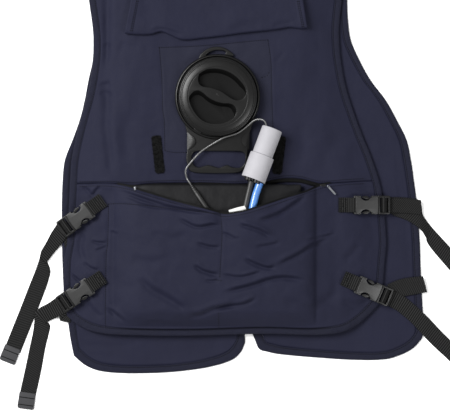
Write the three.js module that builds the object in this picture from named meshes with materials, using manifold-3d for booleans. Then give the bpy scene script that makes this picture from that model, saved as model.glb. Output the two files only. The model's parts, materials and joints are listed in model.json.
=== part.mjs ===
// Cooling vest lying on its front panels, back panel upwards. Lengths in millimetres, angles in degrees.
// X runs across the vest, Y from the hem to the neck, and Z up from the floor.
import * as THREE from "three";
import { mergeVertices } from "three/addons/utils/BufferGeometryUtils.js";
import Module from "manifold-3d";

const wasm = await Module();
wasm.setup();

// Vest body
const backWidth = 430;
const backLength = 590;
const frontWidth = 490;
const frontDrop = 52;
const frontGap = 11;
const frontNeckDepth = 110;
const backNeckDepth = 28;
const shoulderSlope = 14;
const shoulderRoll = 16;
const panelThick = 3;
const bodyRoom = 10;
const drapeReach = 60;
const hemReach = 45;
const hemSink = 2.5;
const seamGap = 0.3;

// Binding tape round the panels
const bindingWidth = 9.5;
const bindingProud = 0.4;

// Pocket, water bag and zip
const pocketWidth = 308;
const pocketCentreX = -6;
const pocketDepth = 200;
const pocketThick = 1.5;
const pocketSlack = 4.5;
const bagWidth = 240;
const bagLength = 174;
const bagHeight = 15;
const bagCentreX = -16;
const bagHemGap = 27;
const pocketHem = 12;
const pocketHemReach = 22;
const pocketWiden = 16;
const pocketSeamReach = 46;
const bagEdge = 2;
const tapeWidth = 4.5;
const tapeThick = 1;
const sliderLength = 11;
const sliderWidth = 9;
const sliderThick = 4;
const pullerLength = 17;
const pullerWidth = 5;
const pullerThick = 1.5;
const pullerHeading = -48;
const pullerReach = 7.7;
const sliderInset = 33.9;
const sliderHeading = 3;

// Flap over the filler port, turned up
const flapWidth = 246;
const flapLength = 150;
const flapThick = 1.5;
const flapFoldY = 405;
const flapCentreX = -13;
const flapTurn = 16;
const flapLoft = 5;

// Filler port
const portX = -11.5;
const portY = 321;
const collarRadius = 56.5;
const collarBevel = 2.5;
const collarHeight = 9;
const boreRadius = 45;
const capRadius = 52.5;
const capHeight = 11;
const capBevel = 2;
const stemLength = 7;
const stemClearance = 0.6;
const recessRadius = 37;
const recessDepth = 9;
const gripWidth = 12.5;
const gripTurn = -25;
const plateWidth = 84;
const plateReach = 103;
const plateThick = 5;
const plateCorner = 12;
const slotWidth = 64;
const slotHeight = 21;
const slotReach = 84;
const knobRadius = 12;
const knobHeight = 3;
const knobReach = 60;
const knobTop = 0.7;
const hookGap = 6.2;
const hookThick = 5.8;
const hookStart = 121;
const hookEnd = 69;
const hookBarb = 3.5;

// Hook tape strips
const stripLength = 51;
const stripWidth = 12.8;
const stripThick = 1.6;
const strips = {
  left: { x: -92.5, y: 244, heading: 103.5 },
  right: { x: 73.4, y: 246.6, heading: 82 },
};

// Pump, hoses and cable
const pumpLength = 73;
const pumpNeckLength = 38;
const pumpNeckDiameter = 28;
const pumpBodyDiameter = 33;
const pumpBevel = 2;
const pumpX = 35.8;
const pumpY = 209.5;
const pumpTurn = 69.4;
const blueHoseDiameter = 10;
const blackHoseDiameter = 8;
const cableDiameter = 2.5;
const sleeveDiameter = 6.5;
const tagWidth = 22;
const tagHeight = 7;
const tagThick = 1;
const tagX = 17;
const tagY = 172.5;
const tagTurn = 17;

// Side straps and side-release buckles
const webWidth = 20;
const webThick = 1.4;
const tipLength = 20;
const tipThick = 3;
const anchorLength = 21;
const buckleWidth = 25;
const buckleThick = 8;
const socketLength = 31;
const ladderLength = 17;
const buckleBar = 3;
const buckleRail = 1.9;
const buckleFit = 0.3;
const buckleWall = 1.7;
const barHeight = 3.85;
const barSlotEnd = 7;
const cavityStart = 10;
const windowStart = 12.5;
const windowEnd = 22;
const windowInset = 4;
const guideStart = 11;
const guideWidth = 4;
const armStart = 17;
const armWidth = 3;
const thumbStart = 13;
const thumbEnd = 21.5;
const ladderRail = 3;
const ladderSlotEnd = 8;
const ladderSecondSlot = 11;
const ladderFoot = 2.5;
const ladderBarAt = 8.3;
const longTail = 182;
const shortTail = 133;

// Flat front panel under everything else, and the height that the back panel rests at
const frontTop = panelThick + bindingProud;
const edgeRest = frontTop + seamGap;
const crownRest = panelThick + bodyRoom;
const plateau = crownRest + panelThick;
const onPlateau = plateau + seamGap;

// Side edges of the back panel: height as a share of its length, edges as shares of its width
const backSides = [
  { up: -0.01, left: -0.486, right: 0.447 },
  { up: 0.043, left: -0.502, right: 0.469 },
  { up: 0.069, left: -0.509, right: 0.48 },
  { up: 0.103, left: -0.513, right: 0.491 },
  { up: 0.167, left: -0.512, right: 0.499 },
  { up: 0.217, left: -0.501, right: 0.504 },
  { up: 0.332, left: -0.494, right: 0.488 },
  { up: 0.4, left: -0.488, right: 0.46 },
  { up: 0.469, left: -0.468, right: 0.422 },
  { up: 0.556, left: -0.436, right: 0.381 },
  { up: 0.618, left: -0.422, right: 0.363 },
  { up: 0.664, left: -0.418, right: 0.356 },
  { up: 0.709, left: -0.422, right: 0.355 },
  { up: 0.767, left: -0.433, right: 0.363 },
  { up: 0.892, left: -0.451, right: 0.38 },
  { up: 1, left: -0.479, right: 0.41 },
];

// Hem of the back panel with its two rounded corners, as shares of the width and the length
const backHem = [
  { across: 0, up: 0.0436 },
  { across: 0.017, up: 0.0286 },
  { across: 0.05, up: 0.0137 },
  { across: 0.083, up: 0.0058 },
  { across: 0.152, up: 0 },
  { across: 0.38, up: -0.0024 },
  { across: 0.644, up: 0.0024 },
  { across: 0.827, up: 0 },
  { across: 0.919, up: 0.0092 },
  { across: 0.967, up: 0.0342 },
  { across: 1, up: 0.0686 },
];

// Shoulders and neckline of the back panel: slope and dip as shares of the shoulder slope and the
// back neck depth, and how much of the binding's width the edge gives up
const backTop = [
  { across: 0, slope: 1, dip: 0, bound: 0 },
  { across: 0.12, slope: 0.5, dip: 0, bound: 0 },
  { across: 0.26, slope: 0, dip: 0, bound: 0.15 },
  { across: 0.3, slope: 0, dip: 0.4, bound: 1 },
  { across: 0.36, slope: 0, dip: 0.75, bound: 1 },
  { across: 0.5, slope: 0, dip: 1, bound: 1 },
  { across: 0.64, slope: 0, dip: 0.75, bound: 1 },
  { across: 0.7, slope: 0, dip: 0.4, bound: 1 },
  { across: 0.74, slope: 0, dip: 0, bound: 0.15 },
  { across: 0.88, slope: 0.5, dip: 0, bound: 0 },
  { across: 1, slope: 1, dip: 0, bound: 0 },
];

// Outer edges of the two front panels, as shares of the back length and the front width
const frontSides = [
  { up: -0.09, left: -0.411, right: 0.461 },
  { up: -0.06, left: -0.419, right: 0.513 },
  { up: -0.011, left: -0.431, right: 0.54 },
  { up: 0.023, left: -0.437, right: 0.544 },
  { up: 0.08, left: -0.448, right: 0.541 },
  { up: 0.149, left: -0.453, right: 0.537 },
  { up: 0.217, left: -0.455, right: 0.534 },
  { up: 0.309, left: -0.455, right: 0.525 },
  { up: 0.355, left: -0.453, right: 0.518 },
  { up: 0.4, left: -0.447, right: 0.51 },
  { up: 0.446, left: -0.426, right: 0.498 },
  { up: 0.492, left: -0.406, right: 0.471 },
  { up: 0.538, left: -0.392, right: 0.44 },
  { up: 0.583, left: -0.382, right: 0.399 },
  { up: 0.629, left: -0.37, right: 0.368 },
  { up: 0.675, left: -0.368, right: 0.344 },
  { up: 0.721, left: -0.37, right: 0.336 },
  { up: 0.767, left: -0.376, right: 0.334 },
  { up: 0.892, left: -0.396, right: 0.338 },
  { up: 1, left: -0.42, right: 0.36 },
];

// Centre-front edges, halfway between the two front panels
const frontCentre = [
  { up: -0.06, middle: 0.063 },
  { up: 0, middle: 0.062 },
  { up: 1, middle: -0.02 },
];

// Front hems, from the outer edge to the centre: drop as a share of the front drop
const leftFrontHem = [
  { across: 0, drop: 0.55 },
  { across: 0.05, drop: 0.78 },
  { across: 0.12, drop: 0.93 },
  { across: 0.25, drop: 1 },
  { across: 0.45, drop: 1 },
  { across: 0.62, drop: 0.95 },
  { across: 0.8, drop: 0.83 },
  { across: 0.93, drop: 0.64 },
  { across: 0.98, drop: 0.42 },
  { across: 1, drop: 0.2 },
];
const rightFrontHem = [
  { across: 0, drop: 0 },
  { across: 0.03, drop: -0.35 },
  { across: 0.08, drop: -0.44 },
  { across: 0.16, drop: -0.51 },
  { across: 0.4, drop: -0.6 },
  { across: 0.65, drop: -0.66 },
  { across: 0.83, drop: -0.64 },
  { across: 0.91, drop: -0.52 },
  { across: 0.97, drop: -0.33 },
  { across: 1, drop: -0.1 },
];

// Shoulder and neckline of a front panel from its outer edge to the centre
const frontTopLine = [
  { across: 0, slope: 1, dip: 0, bound: 0 },
  { across: 0.24, slope: 0.5, dip: 0, bound: 0 },
  { across: 0.48, slope: 0, dip: 0, bound: 0.15 },
  { across: 0.55, slope: 0, dip: 0.4, bound: 1 },
  { across: 0.65, slope: 0, dip: 0.72, bound: 1 },
  { across: 0.8, slope: 0, dip: 0.93, bound: 1 },
  { across: 1, slope: 0, dip: 1, bound: 1 },
];

// Soft valleys of the back panel, as shares of its width and length
const backValleys = [
  { fromX: -0.375, fromY: 0.36, bendX: -0.38, bendY: 0.48, toX: -0.378, toY: 0.62, wide: 0.014, deep: 3 },
  { fromX: -0.378, fromY: 0.62, bendX: -0.385, bendY: 0.7, toX: -0.373, toY: 0.82, wide: 0.014, deep: 3 },
];

// Mouth of the pocket: its sagging front edge and the zip line on the back panel
const mouthLow = [
  { across: -0.5, up: 0.996 },
  { across: -0.399, up: 0.992 },
  { across: -0.352, up: 0.973 },
  { across: -0.285, up: 0.941 },
  { across: -0.202, up: 0.902 },
  { across: -0.118, up: 0.87 },
  { across: -0.034, up: 0.834 },
  { across: 0.008, up: 0.817 },
  { across: 0.061, up: 0.824 },
  { across: 0.113, up: 0.84 },
  { across: 0.197, up: 0.882 },
  { across: 0.28, up: 0.925 },
  { across: 0.364, up: 0.963 },
  { across: 0.428, up: 0.99 },
  { across: 0.539, up: 1.01 },
];
const mouthHigh = [
  { across: -0.479, up: 1.024 },
  { across: -0.399, up: 1.023 },
  { across: -0.369, up: 1.028 },
  { across: -0.285, up: 1.033 },
  { across: -0.118, up: 1.034 },
  { across: 0.079, up: 1.032 },
  { across: 0.197, up: 1.041 },
  { across: 0.28, up: 1.064 },
  { across: 0.344, up: 1.06 },
  { across: 0.385, up: 1.046 },
  { across: 0.44, up: 1.03 },
];

// Folds of the slack pocket front, as shares of its width and depth, deep in shares of its slack
const pocketFolds = [
  { fromX: -0.447, fromY: 0.938, bendX: -0.25, bendY: 0.851, toX: -0.031, toY: 0.8, wide: 0.04, deep: 0.8 },
  { fromX: -0.184, fromY: 0.783, bendX: -0.109, bendY: 0.729, toX: 0, toY: 0.736, wide: 0.04, deep: 0.7 },
  { fromX: -0.105, fromY: 0.614, bendX: -0.048, bendY: 0.594,
    toX: -0.009, toY: 0.594, wide: 0.04, deep: 0.6 },
  { fromX: -0.119, fromY: 0.472, bendX: -0.083, bendY: 0.432,
    toX: -0.014, toY: 0.412, wide: 0.04, deep: 0.6 },
  { fromX: -0.368, fromY: 0.385, bendX: -0.272, bendY: 0.263, toX: -0.158, toY: 0.135, wide: 0.05, deep: 1 },
  { fromX: -0.158, fromY: 0.135, bendX: -0.044, bendY: 0.155, toX: 0.079, toY: 0.216, wide: 0.05, deep: 1 },
  { fromX: -0.508, fromY: 0.182, bendX: -0.456, bendY: 0.121,
    toX: -0.399, toY: 0.034, wide: 0.04, deep: 0.6 },
  { fromX: 0.079, fromY: 0.743, bendX: 0.158, bendY: 0.716, toX: 0.211, toY: 0.662, wide: 0.04, deep: 0.7 },
  { fromX: 0.14, fromY: 0.756, bendX: 0.254, bendY: 0.803, toX: 0.368, toY: 0.938, wide: 0.04, deep: 0.8 },
  { fromX: 0.096, fromY: 0.513, bendX: 0.201, bendY: 0.425, toX: 0.276, toY: 0.493, wide: 0.045, deep: 0.9 },
  { fromX: 0.276, fromY: 0.493, bendX: 0.377, bendY: 0.56, toX: 0.474, toY: 0.655, wide: 0.045, deep: 0.9 },
  { fromX: -0.004, fromY: 0.405, bendX: 0.079, bendY: 0.378, toX: 0.175, toY: 0.432, wide: 0.04, deep: 0.7 },
  { fromX: 0, fromY: 0.284, bendX: 0.188, bendY: 0.398, toX: 0.381, toY: 0.365, wide: 0.05, deep: 1 },
  { fromX: 0.368, fromY: 0.628, bendX: 0.429, bendY: 0.662, toX: 0.495, toY: 0.675, wide: 0.04, deep: 0.6 },
  { fromX: 0.385, fromY: 0.169, bendX: 0.452, bendY: 0.223, toX: 0.517, toY: 0.304, wide: 0.05, deep: 0.8 },
];

// Where the pocket front stands up over the hoses and the cable sleeve, as shares of its size
const pocketHumps = [
  { across: 0.123, up: 0.82, wide: 0.13, long: 0.35, rise: 12 },
  { across: -0.074, up: 0.86, wide: 0.09, long: 0.3, rise: 8 },
];

// Turned-up flap across its width: how far its fold sits below the mean, as shares of its length
const flapFold = [
  { across: 0, lower: -0.013 },
  { across: 0.13, lower: -0.005 },
  { across: 0.2, lower: -0.03 },
  { across: 0.31, lower: 0.042 },
  { across: 0.43, lower: 0.026 },
  { across: 0.52, lower: 0.013 },
  { across: 0.65, lower: -0.018 },
  { across: 0.78, lower: -0.039 },
  { across: 0.9, lower: -0.07 },
  { across: 1, lower: -0.061 },
];

// Each buckle: its bar, the way it points, how far it tips down, and which run of web lies on top
const buckles = [
  { name: "left_upper", barX: -184, barY: 170, heading: 215.8, tip: 9, tailOnTop: true },
  { name: "left_lower", barX: -184, barY: 67, heading: 213.6, tip: 9, tailOnTop: true },
  { name: "right_upper", barX: 172.5, barY: 175.5, heading: 0, tip: 9, tailOnTop: false },
  { name: "right_lower", barX: 177, barY: 68.5, heading: -23, tip: 9, tailOnTop: true },
];

// Free tails from the ladder outwards: reach as a share of the tail's length, heading in degrees,
// and the layer they lie on, from 0 on the floor to 1 on a front panel
const tails = {
  left_upper: { length: longTail, rows: [
    { reach: 0.06, heading: 222, layer: 2.6 },
    { reach: 0.07, heading: 232, layer: 1.7 },
    { reach: 0.08, heading: 236, layer: 0.6 },
    { reach: 0.09, heading: 240, layer: 0 },
    { reach: 0.09, heading: 262, layer: 0 },
    { reach: 0.11, heading: 250, layer: 0 },
    { reach: 0.25, heading: 248.5, layer: 0 },
    { reach: 0.25, heading: 248.5, layer: 0 },
  ] },
  left_lower: { length: shortTail, rows: [
    { reach: 0.08, heading: 213, layer: 2.6 },
    { reach: 0.08, heading: 210, layer: 1.8 },
    { reach: 0.09, heading: 214, layer: 0.6 },
    { reach: 0.08, heading: 238, layer: 0 },
    { reach: 0.08, heading: 262, layer: 0 },
    { reach: 0.14, heading: 258, layer: 0 },
    { reach: 0.22, heading: 258, layer: 0 },
    { reach: 0.23, heading: 258, layer: 0 },
  ] },
  right_upper: { length: longTail, rows: [
    { reach: 0.08, heading: -16, layer: 1.25 },
    { reach: 0.1, heading: -24, layer: 1.12 },
    { reach: 0.09, heading: -36, layer: 1.12 },
    { reach: 0.09, heading: -50, layer: 1.05 },
    { reach: 0.1, heading: -52, layer: 0 },
    { reach: 0.12, heading: -50, layer: 0 },
    { reach: 0.21, heading: -48, layer: 0 },
    { reach: 0.21, heading: -48, layer: 0 },
  ] },
  right_lower: { length: shortTail, rows: [
    { reach: 0.09, heading: -27, layer: 2.9 },
    { reach: 0.1, heading: -36, layer: 2.5 },
    { reach: 0.12, heading: -42, layer: 2.1 },
    { reach: 0.12, heading: -44, layer: 1.6 },
    { reach: 0.13, heading: -46, layer: 0.8 },
    { reach: 0.12, heading: -47, layer: 0 },
    { reach: 0.16, heading: -47, layer: 0 },
    { reach: 0.16, heading: -47, layer: 0 },
  ] },
};

// Fixed runs from the ladder to the front panel's edge, each row a step in millimetres
const fixedRuns = {
  left_upper: [
    { step: 5, heading: 205, layer: 1.9 },
    { step: 4, heading: 190, layer: 1.1 },
    { step: 0.5, heading: 180, layer: 0.5 },
    { step: -4, heading: 180, layer: 0 },
  ],
  left_lower: [
    { step: 5, heading: 205, layer: 1.9 },
    { step: 4, heading: 190, layer: 1.1 },
    { step: 0.5, heading: 180, layer: 0.5 },
    { step: -4, heading: 180, layer: 0 },
  ],
  right_upper: [
    { step: 9, heading: -2, layer: 2.6 },
    { step: 10, heading: -3, layer: 2 },
    { step: 11, heading: -4, layer: 1.7 },
    { step: 8, heading: -5, layer: 1.6 },
  ],
  right_lower: [
    { step: 8, heading: -12, layer: 1.4 },
    { step: 12, heading: 6, layer: 1.1 },
    { step: 12, heading: 6, layer: 1.1 },
    { step: 9, heading: 6, layer: 1.1 },
  ],
};

// Routes of the cable and the hoses, each a list of places chosen by hand: x, y and height
const cableRoute = [
  [53.5, 282.3, 34.1], [51.2, 288, 33.6], [45, 290.8, 31.5], [37.5, 289.2, 29], [29, 282.5, 27.8],
  [15.5, 272.5, 27.6], [-3, 266.2, 27.4], [-13, 261, 26], [-24, 254.5, 23.8], [-36, 246, 23.4],
  [-47.5, 233.5, 23.4], [-55, 222.5, 22.4], [-53.6, 212, 20.4], [-48.6, 204, 24.4],
];
const sleeveRoute = [
  [-48.2, 203.3, 25.2], [-43.4, 196, 30.6], [-36.4, 185.5, 34], [-29.3, 175, 35.6], [-22.5, 164.8, 36.4],
];
const blueHoseRoute = [
  [44.6, 205.1, 34.1], [42.4, 198.6, 34.6], [39.6, 190.5, 36.2], [36.9, 180.5, 37.4], [34.7, 170.6, 37.6],
  [32.4, 158, 37.6], [30, 140, 37.6],
];
const blackHoseRoute = [
  [33.4, 207.3, 34.1], [31.8, 200, 34.4], [29.6, 191, 35.3], [27.3, 181, 36.4], [25, 170.6, 36.6],
  [22.4, 158, 36.6], [19.6, 140, 36.6],
];

// Plain arithmetic
const mix = (a, b, t) => a + (b - a) * t;
const clamp = (value, low, high) => Math.min(Math.max(value, low), high);
const radians = THREE.MathUtils.degToRad;
const smooth = (t) => THREE.MathUtils.smoothstep(t, 0, 1);

// Value of one column of a table at a place along its key column, on a smooth curve through its rows
function read(table, key, column, at) {
  const last = table.length - 1;
  const where = clamp(at, table[0][key], table[last][key]);
  let row = 0;
  while (row < last - 1 && table[row + 1][key] < where) row += 1;
  const before = table[Math.max(row - 1, 0)];
  const from = table[row];
  const to = table[row + 1];
  const after = table[Math.min(row + 2, last)];
  const span = to[key] - from[key];
  const leave = ((to[column] - before[column]) / (to[key] - before[key])) * span;
  const arrive = ((after[column] - from[column]) / (after[key] - from[key])) * span;
  const t = (where - from[key]) / span;
  const bend = t * t * (3 - 2 * t);
  const kickOut = t * (1 - t) * (1 - t);
  const kickIn = t * t * (t - 1);
  return mix(from[column], to[column], bend) + leave * kickOut + arrive * kickIn;
}

// How deep a table of folds presses at a place, each fold a curve through three points
function pressed(folds, width, length, x, y) {
  let deepest = 0;
  for (const fold of folds) {
    for (let i = 0; i <= 10; i += 1) {
      const t = i / 10;
      const fx = mix(mix(fold.fromX, fold.bendX, t), mix(fold.bendX, fold.toX, t), t) * width;
      const fy = mix(mix(fold.fromY, fold.bendY, t), mix(fold.bendY, fold.toY, t), t) * length;
      const away = Math.hypot(x - fx, y - fy) / (fold.wide * length);
      deepest = Math.max(deepest, fold.deep * Math.exp(-away * away));
    }
  }
  return deepest;
}

// A closed mesh from loose triangles, turned to face outwards
function closedGeometry(points, triangles) {
  let volume = 0;
  for (const [a, b, c] of triangles) {
    volume += points[a].dot(points[b].clone().cross(points[c]));
  }
  const geometry = new THREE.BufferGeometry();
  const places = points.flatMap((p) => [p.x, p.y, p.z]);
  geometry.setAttribute("position", new THREE.Float32BufferAttribute(places, 3));
  geometry.setIndex(triangles.flatMap(([a, b, c]) => (volume > 0 ? [a, b, c] : [a, c, b])));
  return geometry;
}

// A wall of cloth over a grid of columns and rows: skin gives its place, underside and top
function wall(columns, rows, skin) {
  const wide = columns.length;
  const tall = rows.length;
  const tops = [];
  const bottoms = [];
  for (const v of rows) {
    for (const u of columns) {
      const at = skin(u, v);
      tops.push(new THREE.Vector3(at.x, at.y, at.high));
      bottoms.push(new THREE.Vector3(at.x, at.y, at.low));
    }
  }
  return skinned(tops, bottoms, wide, tall);
}

// The closed body between two grids of points
function skinned(tops, bottoms, wide, tall) {
  const under = tops.length;
  const triangles = [];
  for (let j = 0; j < tall - 1; j += 1) {
    for (let i = 0; i < wide - 1; i += 1) {
      const a = j * wide + i;
      const b = a + 1;
      const c = a + wide;
      const d = c + 1;
      triangles.push([a, b, d], [a, d, c]);
      triangles.push([under + a, under + d, under + b], [under + a, under + c, under + d]);
    }
  }
  const rim = [];
  for (let i = 0; i < wide - 1; i += 1) rim.push(i);
  for (let j = 0; j < tall - 1; j += 1) rim.push(j * wide + wide - 1);
  for (let i = wide - 1; i > 0; i -= 1) rim.push((tall - 1) * wide + i);
  for (let j = tall - 1; j > 0; j -= 1) rim.push(j * wide);
  rim.forEach((a, k) => {
    const b = rim[(k + 1) % rim.length];
    triangles.push([a, under + a, under + b], [a, under + b, b]);
  });
  return closedGeometry([...tops, ...bottoms], triangles);
}

// A solid through a row of like sections, closed by its first and last section
function loft(sections) {
  const count = sections[0].length;
  const triangles = [];
  for (let s = 0; s < sections.length - 1; s += 1) {
    for (let i = 0; i < count; i += 1) {
      const a = s * count + i;
      const b = s * count + ((i + 1) % count);
      triangles.push([a, b, b + count], [a, b + count, a + count]);
    }
  }
  const end = (sections.length - 1) * count;
  for (let i = 1; i < count - 1; i += 1) {
    triangles.push([0, i + 1, i], [end, end + i, end + i + 1]);
  }
  return closedGeometry(sections.flat(), triangles);
}

// A round tube along a route of chosen places
function tube(route, diameter, steps) {
  const sides = 8;
  const ring = [];
  for (let i = 0; i < sides; i += 1) {
    const turn = (i / sides) * 2 * Math.PI;
    ring.push(new THREE.Vector2((Math.cos(turn) * diameter) / 2, (Math.sin(turn) * diameter) / 2));
  }
  const path = new THREE.CatmullRomCurve3(route.map(([x, y, z]) => new THREE.Vector3(x, y, z)));
  return new THREE.ExtrudeGeometry(new THREE.Shape(ring), { steps, bevelEnabled: false, extrudePath: path });
}

// A flat outline given a thickness, standing on a height
function slab(shape, low, high, segments) {
  const geometry = new THREE.ExtrudeGeometry(shape, {
    depth: high - low,
    bevelEnabled: false,
    curveSegments: segments,
  });
  return geometry.translate(0, 0, low);
}

// Solids for joining and cutting
function solid(geometry) {
  const bare = geometry.clone();
  bare.deleteAttribute("normal");
  bare.deleteAttribute("uv");
  const merged = mergeVertices(bare, 1e-4);
  return new wasm.Manifold(new wasm.Mesh({
    numProp: 3,
    vertProperties: new Float32Array(merged.attributes.position.array),
    triVerts: new Uint32Array(merged.index.array),
  }));
}

function surface(body) {
  const mesh = body.getMesh();
  const geometry = new THREE.BufferGeometry();
  geometry.setAttribute("position", new THREE.Float32BufferAttribute(mesh.vertProperties, 3));
  geometry.setIndex(Array.from(mesh.triVerts));
  return geometry;
}

// A box between two corners
function block(lowX, highX, lowY, highY, lowZ, highZ) {
  const geometry = new THREE.BoxGeometry(highX - lowX, highY - lowY, highZ - lowZ);
  return solid(geometry.translate((lowX + highX) / 2, (lowY + highY) / 2, (lowZ + highZ) / 2));
}

// Materials
function paint(color, roughness, metalness = 0) {
  return new THREE.MeshStandardMaterial({ color, roughness, metalness });
}
const navyCloth = paint(0x1f2736, 0.95);
const navyBinding = paint(0x1a2130, 0.9);
const blackWeb = paint(0x141518, 0.85);
const blackPlastic = paint(0x17181b, 0.4);
const blackFilm = paint(0x101113, 0.45);
const greyPlastic = paint(0xc6c7c9, 0.45);
const blueRubber = paint(0x2a63b8, 0.4);
const blackRubber = paint(0x121214, 0.45);
const whiteTag = paint(0xe8e8e6, 0.8);
const greyMetal = paint(0x9a9ca0, 0.35, 0.9);

const vest = new THREE.Group();
function add(name, geometry, material) {
  const mesh = new THREE.Mesh(geometry, material);
  mesh.name = name;
  vest.add(mesh);
  return mesh;
}

// Outlines of the three panels, each with its four edges as functions
const backPanel = {
  left: (y) => read(backSides, "up", "left", y / backLength) * backWidth,
  right: (y) => read(backSides, "up", "right", y / backLength) * backWidth,
  hem: (u) => read(backHem, "across", "up", u) * backLength,
  top: (u) => backLength - read(backTop, "across", "slope", u) * shoulderSlope
    - read(backTop, "across", "dip", u) * backNeckDepth,
  bound: (u) => clamp(read(backTop, "across", "bound", u), 0, 1),
};

const frontMiddle = (y) => read(frontCentre, "up", "middle", y / backLength) * frontWidth;
const frontOuter = (side, y) => read(frontSides, "up", side, y / backLength) * frontWidth;
const frontNeck = (u) => backLength - read(frontTopLine, "across", "slope", u) * shoulderSlope
  - read(frontTopLine, "across", "dip", u) * frontNeckDepth;
const frontBound = (u) => clamp(read(frontTopLine, "across", "bound", u), 0, 1);
const leftFront = {
  left: (y) => frontOuter("left", y),
  right: (y) => frontMiddle(y) - frontGap / 2,
  hem: (u) => -read(leftFrontHem, "across", "drop", u) * frontDrop,
  top: (u) => frontNeck(u),
  bound: (u) => frontBound(u),
};
const rightFront = {
  left: (y) => frontMiddle(y) + frontGap / 2,
  right: (y) => frontOuter("right", y),
  hem: (u) => read(rightFrontHem, "across", "drop", u) * frontDrop,
  top: (u) => frontNeck(1 - u),
  bound: (u) => frontBound(1 - u),
};

// A place on a panel whose edges are drawn in by an inset, and by a gap all round
function place(panel, u, v, inset, gap = 0) {
  const y = mix(panel.hem(u) + inset + gap, panel.top(u) - inset * panel.bound(u) - gap, v);
  const x = mix(panel.left(y) + inset + gap, panel.right(y) - inset - gap, u);
  return { x, y };
}

// Underside of the back panel: on the fronts at its sides and shoulders, raised in between
function backUnder(x, y) {
  const left = backPanel.left(y);
  const right = backPanel.right(y);
  const across = clamp((x - left) / (right - left), 0, 1);
  const side = smooth(Math.min(x - left, right - x) / drapeReach);
  const top = backPanel.top(across);
  const roll = clamp((y - top + shoulderRoll) / shoulderRoll, 0, 1);
  const shoulder = Math.sqrt(1 - roll * roll);
  const neck = backPanel.bound(across);
  const end = mix(shoulder, 1, neck * 0.4);
  const hem = hemSink * (1 - smooth(y / hemReach));
  const press = pressed(backValleys, backWidth, backLength, x, y);
  const rise = (crownRest - edgeRest - hem) * side * end;
  return edgeRest + Math.max(rise - press, 0);
}
const backOver = (x, y) => backUnder(x, y) + panelThick;

// Panels
const backColumns = [0, 0.02, 0.055, 0.09, 0.12, 0.15, 0.2, 0.26, 0.3, 0.4, 0.5, 0.6, 0.7, 0.74, 0.8, 0.86,
  0.91, 0.95, 0.98, 1];
const backRows = [0, 0.03, 0.07, 0.14, 0.21, 0.28, 0.34, 0.4, 0.46, 0.53, 0.6, 0.66, 0.72, 0.8, 0.88, 0.94,
  0.972, 0.985, 0.994, 1];
function backSkin(u, v) {
  const at = place(backPanel, u, v, bindingWidth, seamGap);
  const low = backUnder(at.x, at.y);
  return { ...at, low, high: low + panelThick };
}
add("back_panel", wall(backColumns, backRows, backSkin), navyCloth);

const frontColumns = [0, 0.05, 0.12, 0.25, 0.37, 0.48, 0.55, 0.65, 0.8, 0.93, 1];
const frontRows = [0, 0.05, 0.1, 0.2, 0.3, 0.4, 0.48, 0.56, 0.64, 0.72, 0.8, 0.9, 1];
const mirrored = (list) => list.map((u) => 1 - u).reverse();
function frontSkin(panel) {
  return (u, v) => ({ ...place(panel, u, v, bindingWidth, seamGap), low: 0, high: panelThick });
}
add("front_panel_left", wall(frontColumns, frontRows, frontSkin(leftFront)), navyCloth);
add("front_panel_right", wall(mirrored(frontColumns), frontRows, frontSkin(rightFront)), navyCloth);

// Bindings, each a band between the panel's true edge and the edge drawn in by the tape's width
function binding(panel, stops, heights) {
  return loft(stops.map(([u, v]) => {
    const outer = place(panel, u, v, 0);
    const inner = place(panel, u, v, bindingWidth);
    const atOuter = heights(outer.x, outer.y);
    const atInner = heights(inner.x, inner.y);
    return [
      new THREE.Vector3(outer.x, outer.y, atOuter.low),
      new THREE.Vector3(inner.x, inner.y, atInner.low),
      new THREE.Vector3(inner.x, inner.y, atInner.high),
      new THREE.Vector3(outer.x, outer.y, atOuter.high),
    ];
  }));
}
const backTape = (x, y) => ({ low: backUnder(x, y), high: backOver(x, y) + bindingProud });
const frontTape = () => ({ low: 0, high: frontTop });
const downward = (list) => [...list].reverse();
const backRun = [
  ...downward(backRows).map((v) => [0, v]),
  ...backColumns.slice(1, -1).map((u) => [u, 0]),
  ...backRows.map((v) => [1, v]),
];
add("back_binding", binding(backPanel, backRun, backTape), navyBinding);
const neckRun = backColumns.filter((u) => u > 0.25 && u < 0.75).map((u) => [u, 1]);
add("back_neck_binding", binding(backPanel, neckRun, backTape), navyBinding);

const neckColumns = frontColumns.filter((u) => u > 0.47 && u < 1);
const leftRun = [
  ...downward(frontRows).map((v) => [0, v]),
  ...frontColumns.slice(1, -1).map((u) => [u, 0]),
  ...frontRows.map((v) => [1, v]),
  ...downward(neckColumns).map((u) => [u, 1]),
];
const rightRun = leftRun.map(([u, v]) => [1 - u, v]);
add("front_binding_left", binding(leftFront, leftRun, frontTape), navyBinding);
add("front_binding_right", binding(rightFront, rightRun, frontTape), navyBinding);

// Water bag: a pillow on the back panel
function pillow(x, y, widen) {
  const across = Math.abs(x - bagCentreX) / (bagWidth / 2 + widen);
  const along = Math.abs(y - bagHemGap - bagLength / 2) / (bagLength / 2 + widen);
  return Math.sqrt(Math.max(1 - across ** 4, 0)) * Math.sqrt(Math.max(1 - along ** 4, 0));
}
const bagOver = (x, y) => onPlateau + bagEdge + (bagHeight - bagEdge) * pillow(x, y, 0);
const bagStops = [0, 0.025, 0.08, 0.18, 0.34, 0.5, 0.66, 0.82, 0.92, 0.975, 1];
function bagSkin(u, v) {
  const x = bagCentreX + (u - 0.5) * bagWidth;
  const y = bagHemGap + v * bagLength;
  return { x, y, low: onPlateau, high: bagOver(x, y) };
}
add("water_bag", wall(bagStops, bagStops, bagSkin), blackFilm);

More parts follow.
